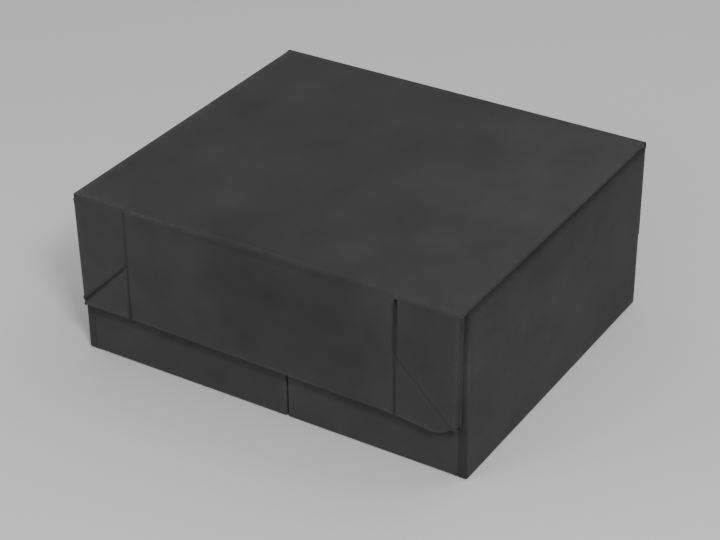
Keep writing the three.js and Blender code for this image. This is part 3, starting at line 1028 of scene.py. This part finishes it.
@dataclass(frozen=True)
class Strip:
    """A strip of cloth that follows a straight fold.

    Attributes:
        name: The piece's name.
        start: Where the fold starts.
        end: Where it ends.
        across: The direction over the fold.
        profile: Places over the fold and upwards from it.
        thickness: The cloth's thickness.
        spacing: The mesh's spacing along the fold.
        shaded: How much painted shade its middle gets at the start and at the end.
        worn_and_lit: How far its middle is frayed and given a painted highlight at the start and at
            the end.
        nap_stroke_and_light: Its patch of painted light and shade, in plan; it fades towards the
            last places.
    """

    name: str
    start: Vector
    end: Vector
    across: Vector
    profile: tuple[Place, ...]
    thickness: float = 0.0006
    spacing: float = 0.004
    shaded: Place = (0.0, 0.0)
    worn_and_lit: Place = (0.0, 0.0)
    nap_stroke_and_light: NapAndLightPatch = NapAndLightPatch((0.0, 0.0), (1.0, 1.0), 0.0)
    FEATHER: ClassVar[Place] = (0.2, 0.6)  # how thick the outer two rows are, as shares
    PATCH_FADE: ClassVar[Place] = (0.45, 0.85)  # the part of the profile where the patch of painted light and shade fades

    def make(self, cloth: Material) -> Object:
        """Builds the strip.

        Args:
            cloth: Its material.

        Returns:
            The piece.
        """
        profile = np.array(self.profile)
        along = np.gradient(profile, axis=0)
        along /= np.linalg.norm(along, axis=1)[:, None]
        normal = np.stack([-along[:, 1], along[:, 0]], 1)
        count = len(profile)
        depth = np.full(count, self.thickness)
        for row, share in enumerate(self.FEATHER):
            depth[[row, -1 - row]] *= share
        columns = max(2, round((self.end - self.start).length / self.spacing) + 1)
        shares = np.linspace(0, 1, columns)[:, None]
        ways = np.array([self.across, (0, 0, 1)])
        base = (np.array(self.start) + shares * np.array(self.end - self.start))[:, None]
        upper = base + (profile @ ways)[None]
        lower = base + ((profile - depth[:, None] * normal) @ ways)[None]
        bend = (np.sin(np.linspace(0, math.pi, count)) ** 4)[None]
        # painted shade, and wear with a painted highlight, strongest in the middle of the bend
        dark, light = ((a + (b - a) * shares) * bend for a, b in (self.shaded, self.worn_and_lit))
        fade = np.interp(np.linspace(0, 1, count), self.PATCH_FADE, (1, 0))
        patch_light = self.nap_stroke_and_light.at(base[:, 0, :2])[:, None] * fade
        shades = {"fold_shade": dark, "rim_wear": light, "nap_and_painted_light": patch_light}
        return cloth_strip(self.name, upper, lower, cloth, **shades)


@dataclass(frozen=True)
class Crease:
    """A line along which the cloth sinks between two boards. Its places are X and Z.

    Attributes:
        start: Where it starts.
        end: Where it ends.
        depth: How deep the cloth sinks at the start and at the end.
        width: How wide it sinks there, from the middle to about a third of the depth.
        press: How much painted shade the cloth gets there.
        ridge: How high the cloth bulges beside the line.
        ridge_away: How far from the line it bulges.
        ridge_half: Half the bulge's width.
    """

    start: Place
    end: Place
    depth: Place
    width: Place
    press: Place
    ridge: float = 0.00005
    ridge_away: float = 0.0028
    ridge_half: float = 0.0008

    def at(self, places: np.ndarray) -> tuple[np.ndarray, np.ndarray]:
        """Sinks the cloth and paints shade along the crease.

        Args:
            places: The places.

        Returns:
            How deep the cloth sinks and how much painted shade it gets at each of them.
        """
        start = np.array(self.start)
        way = np.array(self.end) - start
        share = np.clip(((places - start) @ way) / (way @ way), 0, 1)
        away = np.linalg.norm(places - start - share[..., None] * way, axis=-1)
        depth, width, press = (a + (b - a) * share for a, b in (self.depth, self.width, self.press))
        fall = np.exp(-((away / width) ** 2))
        bulge = self.ridge * np.exp(-(((away - self.ridge_away) / self.ridge_half) ** 2))
        return depth * fall - bulge, press * fall


@dataclass(frozen=True)
class Sag:
    """A strip of cloth that sags along a crease and takes part in the creases that meet it.

    Attributes:
        name: The piece's name.
        crease: The crease that it follows.
        creases: All creases that meet.
        face: The Y of the boards' outer face.
        room: The upright box in X and Z, low and high, that its lines end at.
        half: Half its width.
        lines: The lines on each side of its middle.
        spacing: The mesh's spacing along the crease.
        thickness: The cloth's thickness.
    """

    name: str
    crease: Crease
    creases: tuple[Crease, ...]
    face: float
    room: tuple[Place, Place]
    half: float = 0.0039
    lines: int = 11
    spacing: float = 0.0009
    thickness: float = 0.0004
    PROUD: ClassVar[float] = 0.00002  # how far it stands before the boards
    TUCK: ClassVar[float] = 0.00005  # how far its rims lie back behind that
    FEATHER: ClassVar[float] = 0.2  # how thick its rims are, as a share

    def _places(self) -> tuple[np.ndarray, np.ndarray]:
        """Lays the strip's lines along its crease.

        Returns:
            The strip's places in X and Z, in columns, and each line's distance from the middle.
        """
        start, end = np.array(self.crease.start), np.array(self.crease.end)
        length = float(np.linalg.norm(end - start))
        along = (end - start) / length
        across = np.array([along[1], -along[0]])
        shares = np.linspace(-1, 1, 2 * self.lines + 1)
        shifts = np.sign(shares) * abs(shares) ** 1.4 * self.half
        begins = start + shifts[:, None] * across
        reach = np.full(len(shifts), length + self.half)
        low, high = self.room
        for axis in (0, 1):
            if abs(along[axis]) > 0.01:
                limit = high[axis] if along[axis] > 0 else low[axis]
                reach = np.minimum(reach, (limit - begins[:, axis]) / along[axis])
        columns = max(2, round(length / self.spacing) + 1)
        steps = np.linspace(0, 1, columns)[:, None, None]
        return begins + steps * reach[:, None] * along, shifts

    def make(self, cloth: Material) -> Object:
        """Builds the strip.

        Args:
            cloth: Its material.

        Returns:
            The piece.
        """
        places, shifts = self._places()
        met = zip(*(crease.at(places) for crease in self.creases))
        depth, dark = (np.max(values, axis=0) for values in met)
        tuck = self.TUCK * np.clip(abs(shifts) / self.half * 4 - 3, 0, 1)
        out = self.face - self.PROUD + depth + tuck
        upper = np.stack([places[..., 0], out, places[..., 1]], -1)
        thin = np.full(len(shifts), self.thickness)
        thin[[0, -1]] *= self.FEATHER
        lower = upper + thin[None, :, None] * np.array([0.0, 1.0, 0.0])
        # painted shade along the creases
        return cloth_strip(self.name, upper, lower, cloth, fold_shade=dark)


# Sub-assemblies


def joint_place(name: str) -> Vector:
    """A joint's place in the frame."""
    return Vector(next(joint["pos_m"] for joint in frame["joints"] if joint["name"] == name))


def hand_over(piece: Object, body: str | None, *nodes: str, slot: str = "wrapped_board") -> None:
    """Gives a finished piece its body and hides the CAD nodes that it stands for.

    Args:
        piece: The piece.
        body: The body that it rides on, if any.
        nodes: The CAD nodes that it replaces.
        slot: Not used.
    """
    if body is not None:
        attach(piece, body)
    if nodes:
        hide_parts(*nodes)
    log.info("%s: %d faces", piece.name, len(piece.data.polygons))


@dataclass(frozen=True)
class Assembly:
    """A sub-assembly, with the tree and the finishes that it builds with."""

    tree: WrapTree
    finishes: Finishes

    def board(self, board: Board) -> Object:
        """Makes a board in the outer cloth, with the inner cloth as its lining if it has one."""
        outer = self.finishes.outer
        return board.make(self.tree, outer, self.finishes.lining if board.lined else outer)

    def wrap(self, name: str, slab: Slab, body: str, node: str, **looks: Any) -> None:
        """Makes a board that rides on one body and stands for one CAD node."""
        hand_over(self.board(Board(name, slab, **looks)), body, node)

    def sheet(self, name: str, slab: Slab, cloth: Material, **sizes: float) -> Object:
        """Makes a thin sheet of one cloth, with the Board's sizes given by name."""
        return Board(name, slab, **SHEET_TURNS, **sizes).make(self.tree, cloth, cloth)

    def felt_pad(self, node: str, body: str, under: str, seed: float) -> None:
        """Lays a sheet of felt in a card row or a drawer.

        Args:
            node: The CAD node that it replaces.
            body: The body that carries it.
            under: Not used.
            seed: Chooses its unevenness.
        """
        slab = Slab.of(Facing.UP, node)
        sizes = {"corner": 0.0015, "softness": 0.00012, "seed": seed}
        piece = self.sheet(node + "_felt", slab, self.finishes.felt, **sizes)
        hand_over(piece, body, node, slot="felt")

    def dress(self, material: Material, *nodes: str) -> None:
        """Gives CAD nodes a finish of their own.

        Args:
            material: The finish.
            nodes: The nodes.
        """
        for name in nodes:
            for slot in frame["nodes"][name].material_slots:
                slot.material = material
            log.info("%s: dressed as %s", name, material.name)


@dataclass(frozen=True)
class Case(Assembly):
    """The fixed case: sides, back, base, the facings under the cover, rows, pads and magnets."""

    side_turn: float = 0.0018  # the cloth's turn round the side boards' rims
    facing_turn: float = 0.0019  # and round the facings'
    magnet_proud: float = 0.00012  # how far the front facing stays behind its magnets
    notch_radius: float = 0.013
    notch_steps: int = 18
    # patches of painted light and shade: a painted highlight on the right board's front edge beside
    # the flap, a painted shadow under the lid's edge, and painted shade over the upper side face
    nap_strokes_and_light: ClassVar[tuple[NapAndLightPatch, ...]] = (
        NapAndLightPatch((-0.1495, 0.1), (0.0019, 0.062), 0.5),
        NapAndLightPatch((0.0, 0.1481), (1.0, 0.0036), -0.17),
        NapAndLightPatch((0.0, 0.15), (0.6, 0.065), -0.19),
    )

    def build(self) -> None:
        """Makes the case's pieces in order."""
        # painted shade on each side board's front edge, darker on the right
        self._side("left", "r", 0.12, self.nap_strokes_and_light[1:], 1.0)
        self._side("right", "l", 0.5, self.nap_strokes_and_light, 2.0)
        self._back_and_base()
        self._facings()
        self._rows()

    def _side(
        self, side: str, front: str, press: float, nap_strokes_and_light: tuple[NapAndLightPatch, ...], seed: float
    ) -> None:
        """A side board, whose front edge gets painted shade below the flap's foot.

        Args:
            side: Which one.
            front: The letter of its front edge.
            press: How dark that painted shade is.
            nap_strokes_and_light: Its patches of painted light and shade.
            seed: Chooses its unevenness.
        """
        node = f"{side}_side_board"
        rims = {"corner": self.side_turn + 0.0001, "turn": self.side_turn, "back_turn": SHARP_TURN}
        looks = {"shaded": front, "press": press, "nap_strokes_and_light": nap_strokes_and_light, "seed": seed}
        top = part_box("flap_lower_board")[0].z
        slab = Slab.of(Facing[side.upper()], node)
        self.wrap(f"{node}_cloth", slab, "case", node, press_top=top, **rims, **looks)

    def _back_and_base(self) -> None:
        """The back board and the base."""
        rims = {"corner": 0.0012, "turn": 0.001}
        slab = Slab.of(Facing.BACK, "back_board")
        self.wrap("back_board_cloth", slab, "case", "back_board", seed=3.0, **rims)
        slab = Slab.of(Facing.DOWN, "base_board")
        slab.high.z -= 0.0001
        rims["softness"] = 0.0001
        self.wrap("base_board_cloth", slab, "case", "base_board", seed=4.0, **rims)

    def _notched(self, slab: Slab) -> tuple[Place, ...]:
        """Cuts a half-round notch per drawer into the low edge of the front facing board.

        Args:
            slab: The board's room.

        Returns:
            Its outline.
        """
        first, *others = slab.corners()
        outline = [first]
        for side in SIDES:
            floor_low, floor_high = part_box(side + "_drawer_floor")
            centre = (floor_low.x + floor_high.x) / 2
            for step in range(self.notch_steps + 1):
                at = math.pi * (1 - step / self.notch_steps)
                across, up = self.notch_radius * math.cos(at), self.notch_radius * math.sin(at)
                outline.append((centre + across, slab.low.y + up))
        return (*outline, *others)

    def _facings(self) -> None:
        """The boards under the flap and under the cover's back panel."""
        rims = {"turn": self.facing_turn, "back_turn": 0.0012}
        node = "front_facing_board"
        slab = Slab.of(Facing.FRONT, node)
        looks = {"corners": self._notched(slab), "softness": self.magnet_proud, "seed": 5.0}
        slab.high.z -= self.magnet_proud
        self.wrap("front_facing_cloth", slab, "case", node, **rims, **looks)
        node = "back_facing_board"
        slab = Slab.of(Facing.BACK, node)
        self.wrap("back_facing_cloth", slab, "case", node, seed=6.0, **rims)
        node = "cover_back_panel"
        slab = Slab.of(Facing.BACK, node)
        rims = {"corner": 0.003, "turn": 0.0021, "back_turn": 0.0015}
        self.wrap("cover_back_panel_cloth", slab, "case", node, seed=7.0, **rims)

    def _rows(self) -> None:
        """The card rows' boards, their felt pads, and the magnets in the case."""
        rails = [f"{side}_shelf_rail" for side in ("left", "middle", "right")]
        walls = ("main_partition", "left_row_partition", "right_row_partition", "drawer_divider")
        self.dress(self.finishes.lining, "shelf_board", *rails, "front_wall", *walls)
        magnets = (f"{side}_{kind}_magnet" for kind in ("wall", "catch") for side in SIDES)
        self.dress(self.finishes.nickel, *magnets)
        for row in range(1, 5):
            self.felt_pad(f"row_{row}_pad", "case", "shelf_board", 10.0 + row)


@dataclass(frozen=True)
class Cover(Assembly):
    """The lid, its lining, and the cloth that runs over its front and back folds."""

    fold_turn: float = 0.0034  # the cloth's turn over a fold
    proud: float = 0.00002  # how far it stands off the boards there
    flat: float = 0.0026  # how far it runs on over the lid
    setback: float = 0.0022  # how far the lid stays behind the fold
    reach: float = 0.003  # how far from the fold the bend begins on the lid
    drop: float = 0.0035  # and on the panel
    span_gap: float = 0.0005  # between the front fold's cloth and a wing's fold
    end_gap: float = 0.0003  # between the back fold's cloth and the panel's side
    tucks: Place = (0.00005, 0.00004)  # how far the cloth's foot and its far rim go under
    run_out: float = 0.0016  # the height over which the foot does so
    # patches of painted light and shade on the lid: lighter at the back right, darker over the
    # front middle
    nap_strokes_and_light: ClassVar[tuple[NapAndLightPatch, ...]] = (
        NapAndLightPatch((0.165, 0.06), (0.16, 0.2), 0.2),
        NapAndLightPatch((-0.01, -0.15), (0.09, 0.06), -0.13),
    )

    def build(self) -> None:
        """Makes the lid's pieces in order."""
        self._lid()
        self._lining()
        self._fold(front=True)
        self._fold(front=False)

    def _lid(self) -> None:
        """The lid board, whose under side closes the seam over the wings."""
        slab = Slab.of(Facing.UP, "lid_board")
        slab.low.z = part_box("flap_upper_board")[1].z + HAIR
        first, last = self._folded_span()
        left, right, front, back = slab.low.x, slab.high.x, slab.low.y, slab.high.y
        inner, outer, slope = front + self.setback, back - self.setback, self.setback * 1.4
        corners = ((left, front), (first, front), (first + slope, inner), (last - slope, inner))
        corners += ((last, front), (right, front), (right, outer), (left, outer))
        rims = {"corners": corners, "corner": 0.0022, "back_turn": SHARP_TURN, "softness": 0.0004}
        # wear with a painted highlight along the rims, fading towards the right end
        wear = {"wear": 1.3, "wear_right": 0.15, "rim_mark_reach": self.setback - 0.0001}
        looks = {"nap_strokes_and_light": self.nap_strokes_and_light, "seed": 20.0}
        self.wrap("lid_cloth", slab, "lid", "lid_board", **rims, **wear, **looks)

    def _lining(self) -> None:
        """The inner cloth stretched over the lid's under side."""
        slab = Slab.of(Facing.DOWN, "lid_lining")
        piece = self.sheet("lid_lining_cloth", slab, self.finishes.lining, corner=0.002, seed=21.0)
        hand_over(piece, "lid", "lid_lining", slot="inner_cloth")

    def _folded_span(self) -> Place:
        """The two ends of the front edge over which the cloth runs from the lid on to the flap."""
        left, right = (joint_place(f"{side}_wing_fold").x for side in SIDES)
        return left + self.span_gap, right - self.span_gap

    def _profile(self) -> tuple[Place, ...]:
        """Draws the cloth over a fold: up the panel, round the lid's edge, and level on the lid.

        Returns:
            Places over the fold and upwards from it.
        """
        turn, proud = self.fold_turn, self.proud
        drop, reach = turn + self.flat * 1.6, turn + self.flat
        radius = turn + proud
        foot, rim = self.tucks
        places = [(foot, -drop), (-proud, -drop + self.run_out), (-proud, -(drop + turn) / 2)]
        for step in range(11):
            at = math.pi / 2 * step / 10
            places.append((turn - radius * math.cos(at), -turn + radius * math.sin(at)))
        return tuple(places + [((reach + turn) / 2, proud), (reach, -rim)])

    def _fold(self, front: bool) -> None:
        """The cloth over the lid's front or back edge.

        Args:
            front: Whether it is the front edge.
        """
        hinge = joint_place("flap_hinge" if front else "lid_hinge")
        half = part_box("cover_back_panel")[1].x - self.end_gap
        left, right = self._folded_span() if front else (-half, half)
        inwards = Vector((0, 1 if front else -1, 0))
        name = "front_fold_cloth" if front else "back_fold_cloth"
        start, end = (Vector((x, hinge.y, hinge.z)) for x in (left, right))
        # over the front fold: a darker patch of painted shade, painted shade in the bend towards
        # the right, and wear with a painted highlight towards the left
        nap_stroke_and_light = NapAndLightPatch((0.015, hinge.y), (0.125, 1.0), -0.24)
        shades = {"shaded": (0.0, 0.15), "worn_and_lit": (0.6, 0.0), "nap_stroke_and_light": nap_stroke_and_light} if front else {}
        strip = Strip(name, start, end, inwards, self._profile(), **shades)
        piece = strip.make(self.finishes.outer)
        if front:
            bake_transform(piece)
        else:
            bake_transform(piece)
        hand_over(piece, None)


@dataclass(frozen=True)
class FlapCloth(Assembly):
    """What the flap's middle and its ends share."""

    back_turn: float = 0.0014
    turn_in: float = 0.011
    wear: float = 0.5
    wear_width: float = 0.003
    bend: float = 0.0012  # how far the level crease's bend reaches
    drops: ClassVar[dict[str, float]] = {"left": -0.0006, "right": 0.0036}

    def cloth(self, name: str, slab: Slab, corners: list[Place], **looks: Any) -> Object:
        """Makes one cloth of the flap.

        Args:
            name: The piece's name.
            slab: Its boards' room.
            corners: Its outline.
            looks: Fields of its Board.

        Returns:
            The piece.
        """
        shared = {"back_turn": self.back_turn, "wear": self.wear, "wear_width": self.wear_width}
        return self.board(Board(name, slab, tuple(corners), **shared, **looks))

    def across_fold(self, piece: Object, upper: str, lower: str) -> None:
        """Bakes a piece's place into its mesh.

        Args:
            piece: The piece.
            upper: Not used.
            lower: Not used.
        """
        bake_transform(piece)


@dataclass(frozen=True)
class FlapMiddle(FlapCloth):
    """The middle of the flap, one cloth over both boards."""

    turn: float = 0.0021
    # a darker patch of painted shade around the flap's middle
    nap_strokes_and_light: ClassVar[tuple[NapAndLightPatch, ...]] = (NapAndLightPatch((0.025, 0.11), (0.13, 0.1), -0.2),)

    def build(self) -> None:
        """Makes the cloth, with its foot drawn down to each end's drop."""
        slab = Slab.of(Facing.FRONT, "flap_upper_board", "flap_lower_board")
        (left, foot), (right, _), *top = slab.corners()
        corners = [(left, foot - self.drops["left"]), (right, foot - self.drops["right"]), *top]
        # wear with a painted highlight along the foot
        rims = {"corner": 0.0023, "turn": self.turn, "turn_in": self.turn_in * 0.45, "worn_and_lit": "b"}
        looks = {"nap_strokes_and_light": self.nap_strokes_and_light, "softness": 0.0004, "seed": 30.0}
        level = joint_place("flap_mid_fold").z
        piece = self.cloth("flap_middle_cloth", slab, corners, crease=level, **rims, **looks)
        self.across_fold(piece, "flap_upper", "flap_lower")
        hand_over(piece, None, "flap_upper_board", "flap_lower_board")


@dataclass(frozen=True)
class FlapEnd(FlapCloth):
    """One folding end of the flap: a wing, two gusset triangles and the cloth in their creases.

    Attributes:
        side: Which end.
        corner: The radius of its corners.
        turn: The cloth's turn round its rims.
        lean: How far its outer edge leans in at the foot.
        crease_bend: How far an upright crease's bend reaches.
        foot_gap: How far the creases' cloth ends above the flap's foot.
        sags: Where the inner gusset's foot sags, as a share of its length, and how deep.
        nap_strokes_and_light: Its patches of painted light and shade.
        tips: How much lower the outer gusset's tip is.
        creases: Each crease's depth, width and painted shade.
    """

    side: str = "left"
    corner: float = 0.00195
    turn: float = 0.0019
    lean: float = 0.0022
    crease_bend: float = 0.0022
    foot_gap: float = 0.0003
    sags: ClassVar[dict[str, tuple[Place, ...]]] = {
        "left": (),
        "right": ((0.35, 0.0056), (0.68, 0.0072), (0.86, 0.005)),
    }
    # darker patches of painted shade on the right end
    nap_strokes_and_light: ClassVar[dict[str, tuple[NapAndLightPatch, ...]]] = {
        "left": (),
        "right": (
            NapAndLightPatch((0.15, 0.13), (0.06, 0.06), -0.16),
            NapAndLightPatch((0.14, 0.07), (0.06, 0.05), -0.07),
        ),
    }
    tips: ClassVar[dict[str, float]] = {"left": 0.0, "right": 0.0018}
    # the third pair of each crease is its painted shade
    creases: ClassVar[dict[str, dict[str, tuple[Place, Place, Place]]]] = {
        "left": {
            "upper": ((0.0009, 0.0010), (0.0014, 0.0018), (0.3, 0.4)),
            "lower": ((0.0009, 0.0013), (0.0011, 0.0015), (0.4, 0.75)),
            "seam": ((0.0011, 0.0018), (0.0012, 0.0016), (0.6, 1.0)),
        },
        "right": {
            "upper": ((0.0013, 0.0020), (0.0017, 0.0033), (0.7, 1.0)),
            "lower": ((0.0011, 0.0012), (0.0014, 0.0013), (0.6, 0.7)),
            "seam": ((0.0008, 0.0005), (0.0021, 0.0012), (0.4, 0.3)),
        },
    }

    @property
    def sign(self) -> int:
        """Which way is outwards along X."""
        return -1 if self.side == "left" else 1

    def build(self) -> None:
        """Makes the end's pieces in order."""
        self._end()
        self._inner_gusset()
        self._creases()

    def _seam(self) -> tuple[Vector, float, float, float]:
        """Finds the diagonal seam.

        Returns:
            Its start, how far a board stops from it, and the end boards' two upright sides, all as
            on the right side: X grows from the flap's middle outwards.
        """
        start = joint_place(f"{self.side}_wing_fold")
        start.x = abs(start.x)
        sides = [abs(corner.x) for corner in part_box(f"{self.side}_wing_board")]
        return start, (min(sides) - start.x) * math.sqrt(2), min(sides), max(sides)

    def _part(self, name: str, slab: Slab, corners: list[Place], **looks: Any) -> Object:
        """Makes one cloth of the end.

        Args:
            name: The piece's name.
            slab: Its boards' room.
            corners: Its outline, as on the right side.
            looks: Fields of its Board.

        Returns:
            The piece.
        """
        if self.sign < 0:
            corners = [(-x, z) for x, z in reversed(corners)]
        rims = {"corner": self.corner, "turn": self.turn, "nap_strokes_and_light": self.nap_strokes_and_light[self.side]}
        return self.cloth(name, slab, corners, **rims, **looks)

    def _end(self) -> None:
        """A wing and the gusset under it, one cloth over both boards."""
        boards = f"{self.side}_wing_board", f"{self.side}_outer_gusset"
        slab = Slab.of(Facing.FRONT, *boards)
        start, gap, inner, outer = self._seam()
        total = start.x + start.z + gap
        tip = outer - self.lean
        low = total - tip - self.tips[self.side]
        corners = [(inner, slab.high.y), (inner, total - inner), (tip, low), (outer, slab.high.y)]
        # its outer edge: wear with a painted highlight, and painted shade on the end face
        edge = "l" if self.sign < 0 else "r"
        rims = {"tight": "t", "turn_in": self.turn_in * 0.7, "worn_and_lit": edge, "softness": 0.0004}
        crease = {"crease": start.z, "crease_depth": -0.00008}
        looks = {"shaded": edge, "press": 0.4, "seed": 31.0 + self.sign, "spacing": 0.005}
        name = f"{self.side}_flap_end_cloth"
        piece = self._part(name, slab, corners, **rims, **crease, **looks)
        self.across_fold(piece, f"{self.side}_wing", f"{self.side}_outer_gusset")
        hand_over(piece, None, *boards)

    def _inner_gusset(self) -> None:
        """The triangle between the diagonal and the flap's middle."""
        node = f"{self.side}_inner_gusset"
        slab = Slab.of(Facing.FRONT, node)
        start, gap, inner, _ = self._seam()
        foot = slab.low.y
        total = start.x + start.z - gap
        places = ((0, self.drops[self.side]), *self.sags[self.side], (1, 0))
        corners = [(inner + share * (total - foot - inner), foot - sag) for share, sag in places]
        corners.append((inner, total - inner))
        # wear with a painted highlight along its foot
        looks = {"turn_in": self.turn_in * 0.55, "worn_and_lit": "b", "spacing": 0.004}
        piece = self._part(f"{node}_cloth", slab, corners, seed=34.0 + self.sign, **looks)
        hand_over(piece, node, node)

    def _creases(self) -> None:
        """The cloth in the upright creases and in the diagonal one, which meet at one place."""
        side, sign, hinge = self.side, self.sign, joint_place(f"{self.side}_wing_fold")
        start, _, _, outer = self._seam()
        foot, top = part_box(f"{side}_inner_gusset")[0].z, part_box(f"{side}_wing_board")[1].z
        run = min(outer - start.x, start.z - foot)
        ends = {
            "upper": (sign * start.x, top),
            "lower": (sign * start.x, foot - self.drops[side]),
            "seam": (sign * (start.x + run), start.z - run),
        }
        bends = {
            "upper": ("flap_upper", f"{side}_wing"),
            "lower": ("flap_lower", f"{side}_inner_gusset"),
        }
        middle = (sign * start.x, start.z)
        lines = {name: Crease(middle, end, *self.creases[side][name]) for name, end in ends.items()}
        reach, wide = Vector((sign * self.crease_bend, 0, 0)), outer - self.lean
        for name, line in lines.items():
            low = foot + self.foot_gap - (self.drops[side] if name == "lower" else 0)
            room = ((-wide, low), (wide, top))
            sag = Sag(f"{side}_{name}_crease_cloth", line, tuple(lines.values()), hinge.y, room)
            piece = sag.make(self.finishes.outer)
            if name in bends:
                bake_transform(piece)
            hand_over(piece, None if name in bends else f"{side}_outer_gusset")


@dataclass(frozen=True)
class Drawer(Assembly):
    """One drawer: a wrapped front, a lined box, a felt pad and a magnet."""

    side: str = "left"
    seed: float = 40.0
    front_turn: float = 0.0011
    cloth: float = 0.00018  # how far the front's cloth stands out at the side board

    def build(self) -> None:
        """Makes the drawer's pieces in order."""
        body = f"{self.side}_drawer"
        node = f"{body}_front"
        slab = Slab.of(Facing.FRONT, node)
        if self.side == "left":
            slab.low.x -= self.cloth
        else:
            slab.high.x += self.cloth
        rims = {"corner": 0.002, "turn": self.front_turn, "tight": self.side[0]}
        self.wrap(f"{node}_cloth", slab, body, node, wear=0.2, seed=self.seed, **rims)
        walls = [f"{body}_{name}" for name in ("left_wall", "right_wall", "back", "floor")]
        self.dress(self.finishes.lining, *walls)
        self.dress(self.finishes.nickel, f"{body}_magnet")
        self.felt_pad(f"{body}_pad", body, f"{body}_floor", self.seed + 1)


# Studio


@dataclass(frozen=True)
class Softbox:
    """A rectangular light that looks at a target."""

    name: str
    place: Place3
    target: Place3
    size: Place
    power: float

    def build(self) -> None:
        """Sets up the light."""
        data = bpy.data.lights.new(self.name, "AREA")
        data.shape = "RECTANGLE"
        data.size, data.size_y = self.size
        data.energy = self.power
        light = placed(self.name, data)
        light.location = self.place
        look = Vector(self.target) - Vector(self.place)
        light.rotation_euler = look.to_track_quat("-Z", "Y").to_euler()


@dataclass(frozen=True)
class Studio:
    """The floor, the lights and the camera.

    Attributes:
        eye: The camera's place.
        turn: The camera's turn about X, Y and Z, in degrees.
        lens: Its focal length on a sensor as wide as sensor, both in millimetres.
        sensor: That width.
        air: The brightness of the room.
        air_colour: Its colour.
        floor_half: Half the floor's width.
        lights: The lights.
    """

    eye: Place3 = (0.76195, -1.24443, 0.93316)
    turn: Place3 = (58.9154, 0.2920, 31.5059)
    lens: float = 101.716
    sensor: float = 36.0
    air: float = 0.5
    air_colour: Colour = (0.955, 0.96, 0.985, 1.0)
    floor_half: float = 6.0
    lights: tuple[Softbox, ...] = (
        Softbox("top_softbox", (0.5, 0.8, 1.7), (0.0, 0.0, 0.1), (1.4, 1.1), 6.5),
        Softbox("key_softbox", (1.05, -1.10, 1.5), (0.0, 0.0, 0.08), (0.35, 0.35), 20.3),
        Softbox("left_softbox", (-1.0, -1.5, 0.75), (-0.1, 0.0, 0.08), (1.0, 1.0), 8.7),
    )

    def build(self) -> None:
        """Sets up the camera, the floor, the even light from all round, and the softboxes."""
        self._camera()
        self._floor()
        world = bpy.data.worlds.new("studio_air")
        world.use_nodes = True
        background = world.node_tree.nodes["Background"].inputs
        background["Color"].default_value = self.air_colour
        background["Strength"].default_value = self.air
        bpy.context.scene.world = world
        for light in self.lights:
            light.build()

    def _camera(self) -> None:
        """The camera at the photograph's place."""
        data = bpy.data.cameras.new("photo_camera")
        data.lens = self.lens
        data.sensor_width = self.sensor
        data.sensor_fit = "HORIZONTAL"
        data.clip_start, data.clip_end = 0.05, 50.0
        camera = placed("photo_camera", data)
        camera.location = self.eye
        camera.rotation_euler = [math.radians(angle) for angle in self.turn]
        bpy.context.scene.camera = camera

    def _floor(self) -> None:
        """A wide pale floor."""
        work = bmesh.new()
        bmesh.ops.create_grid(work, x_segments=8, y_segments=8, size=self.floor_half)
        mesh = bpy.data.meshes.new("studio_floor")
        work.to_mesh(mesh)
        work.free()
        mesh.materials.append(StudioPaper("studio_paper", 0.72).make())
        floor = placed("studio_floor", mesh)


def main() -> None:
    """Builds the studio and the box."""
    logging.basicConfig(level=logging.INFO, format="%(name)s: %(message)s")
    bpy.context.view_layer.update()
    Studio().build()
    shop = (WrapTree(), Finishes())
    Case(*shop).build()
    Cover(*shop).build()
    FlapMiddle(*shop).build()
    for side in SIDES:
        FlapEnd(*shop, side=side).build()
    for side, seed in zip(SIDES, (40.0, 44.0)):
        Drawer(*shop, side=side, seed=seed).build()
    Assembly(*shop).dress(shop[1].nickel, "left_flap_magnet", "right_flap_magnet")


if __name__ == "__main__":
    main()
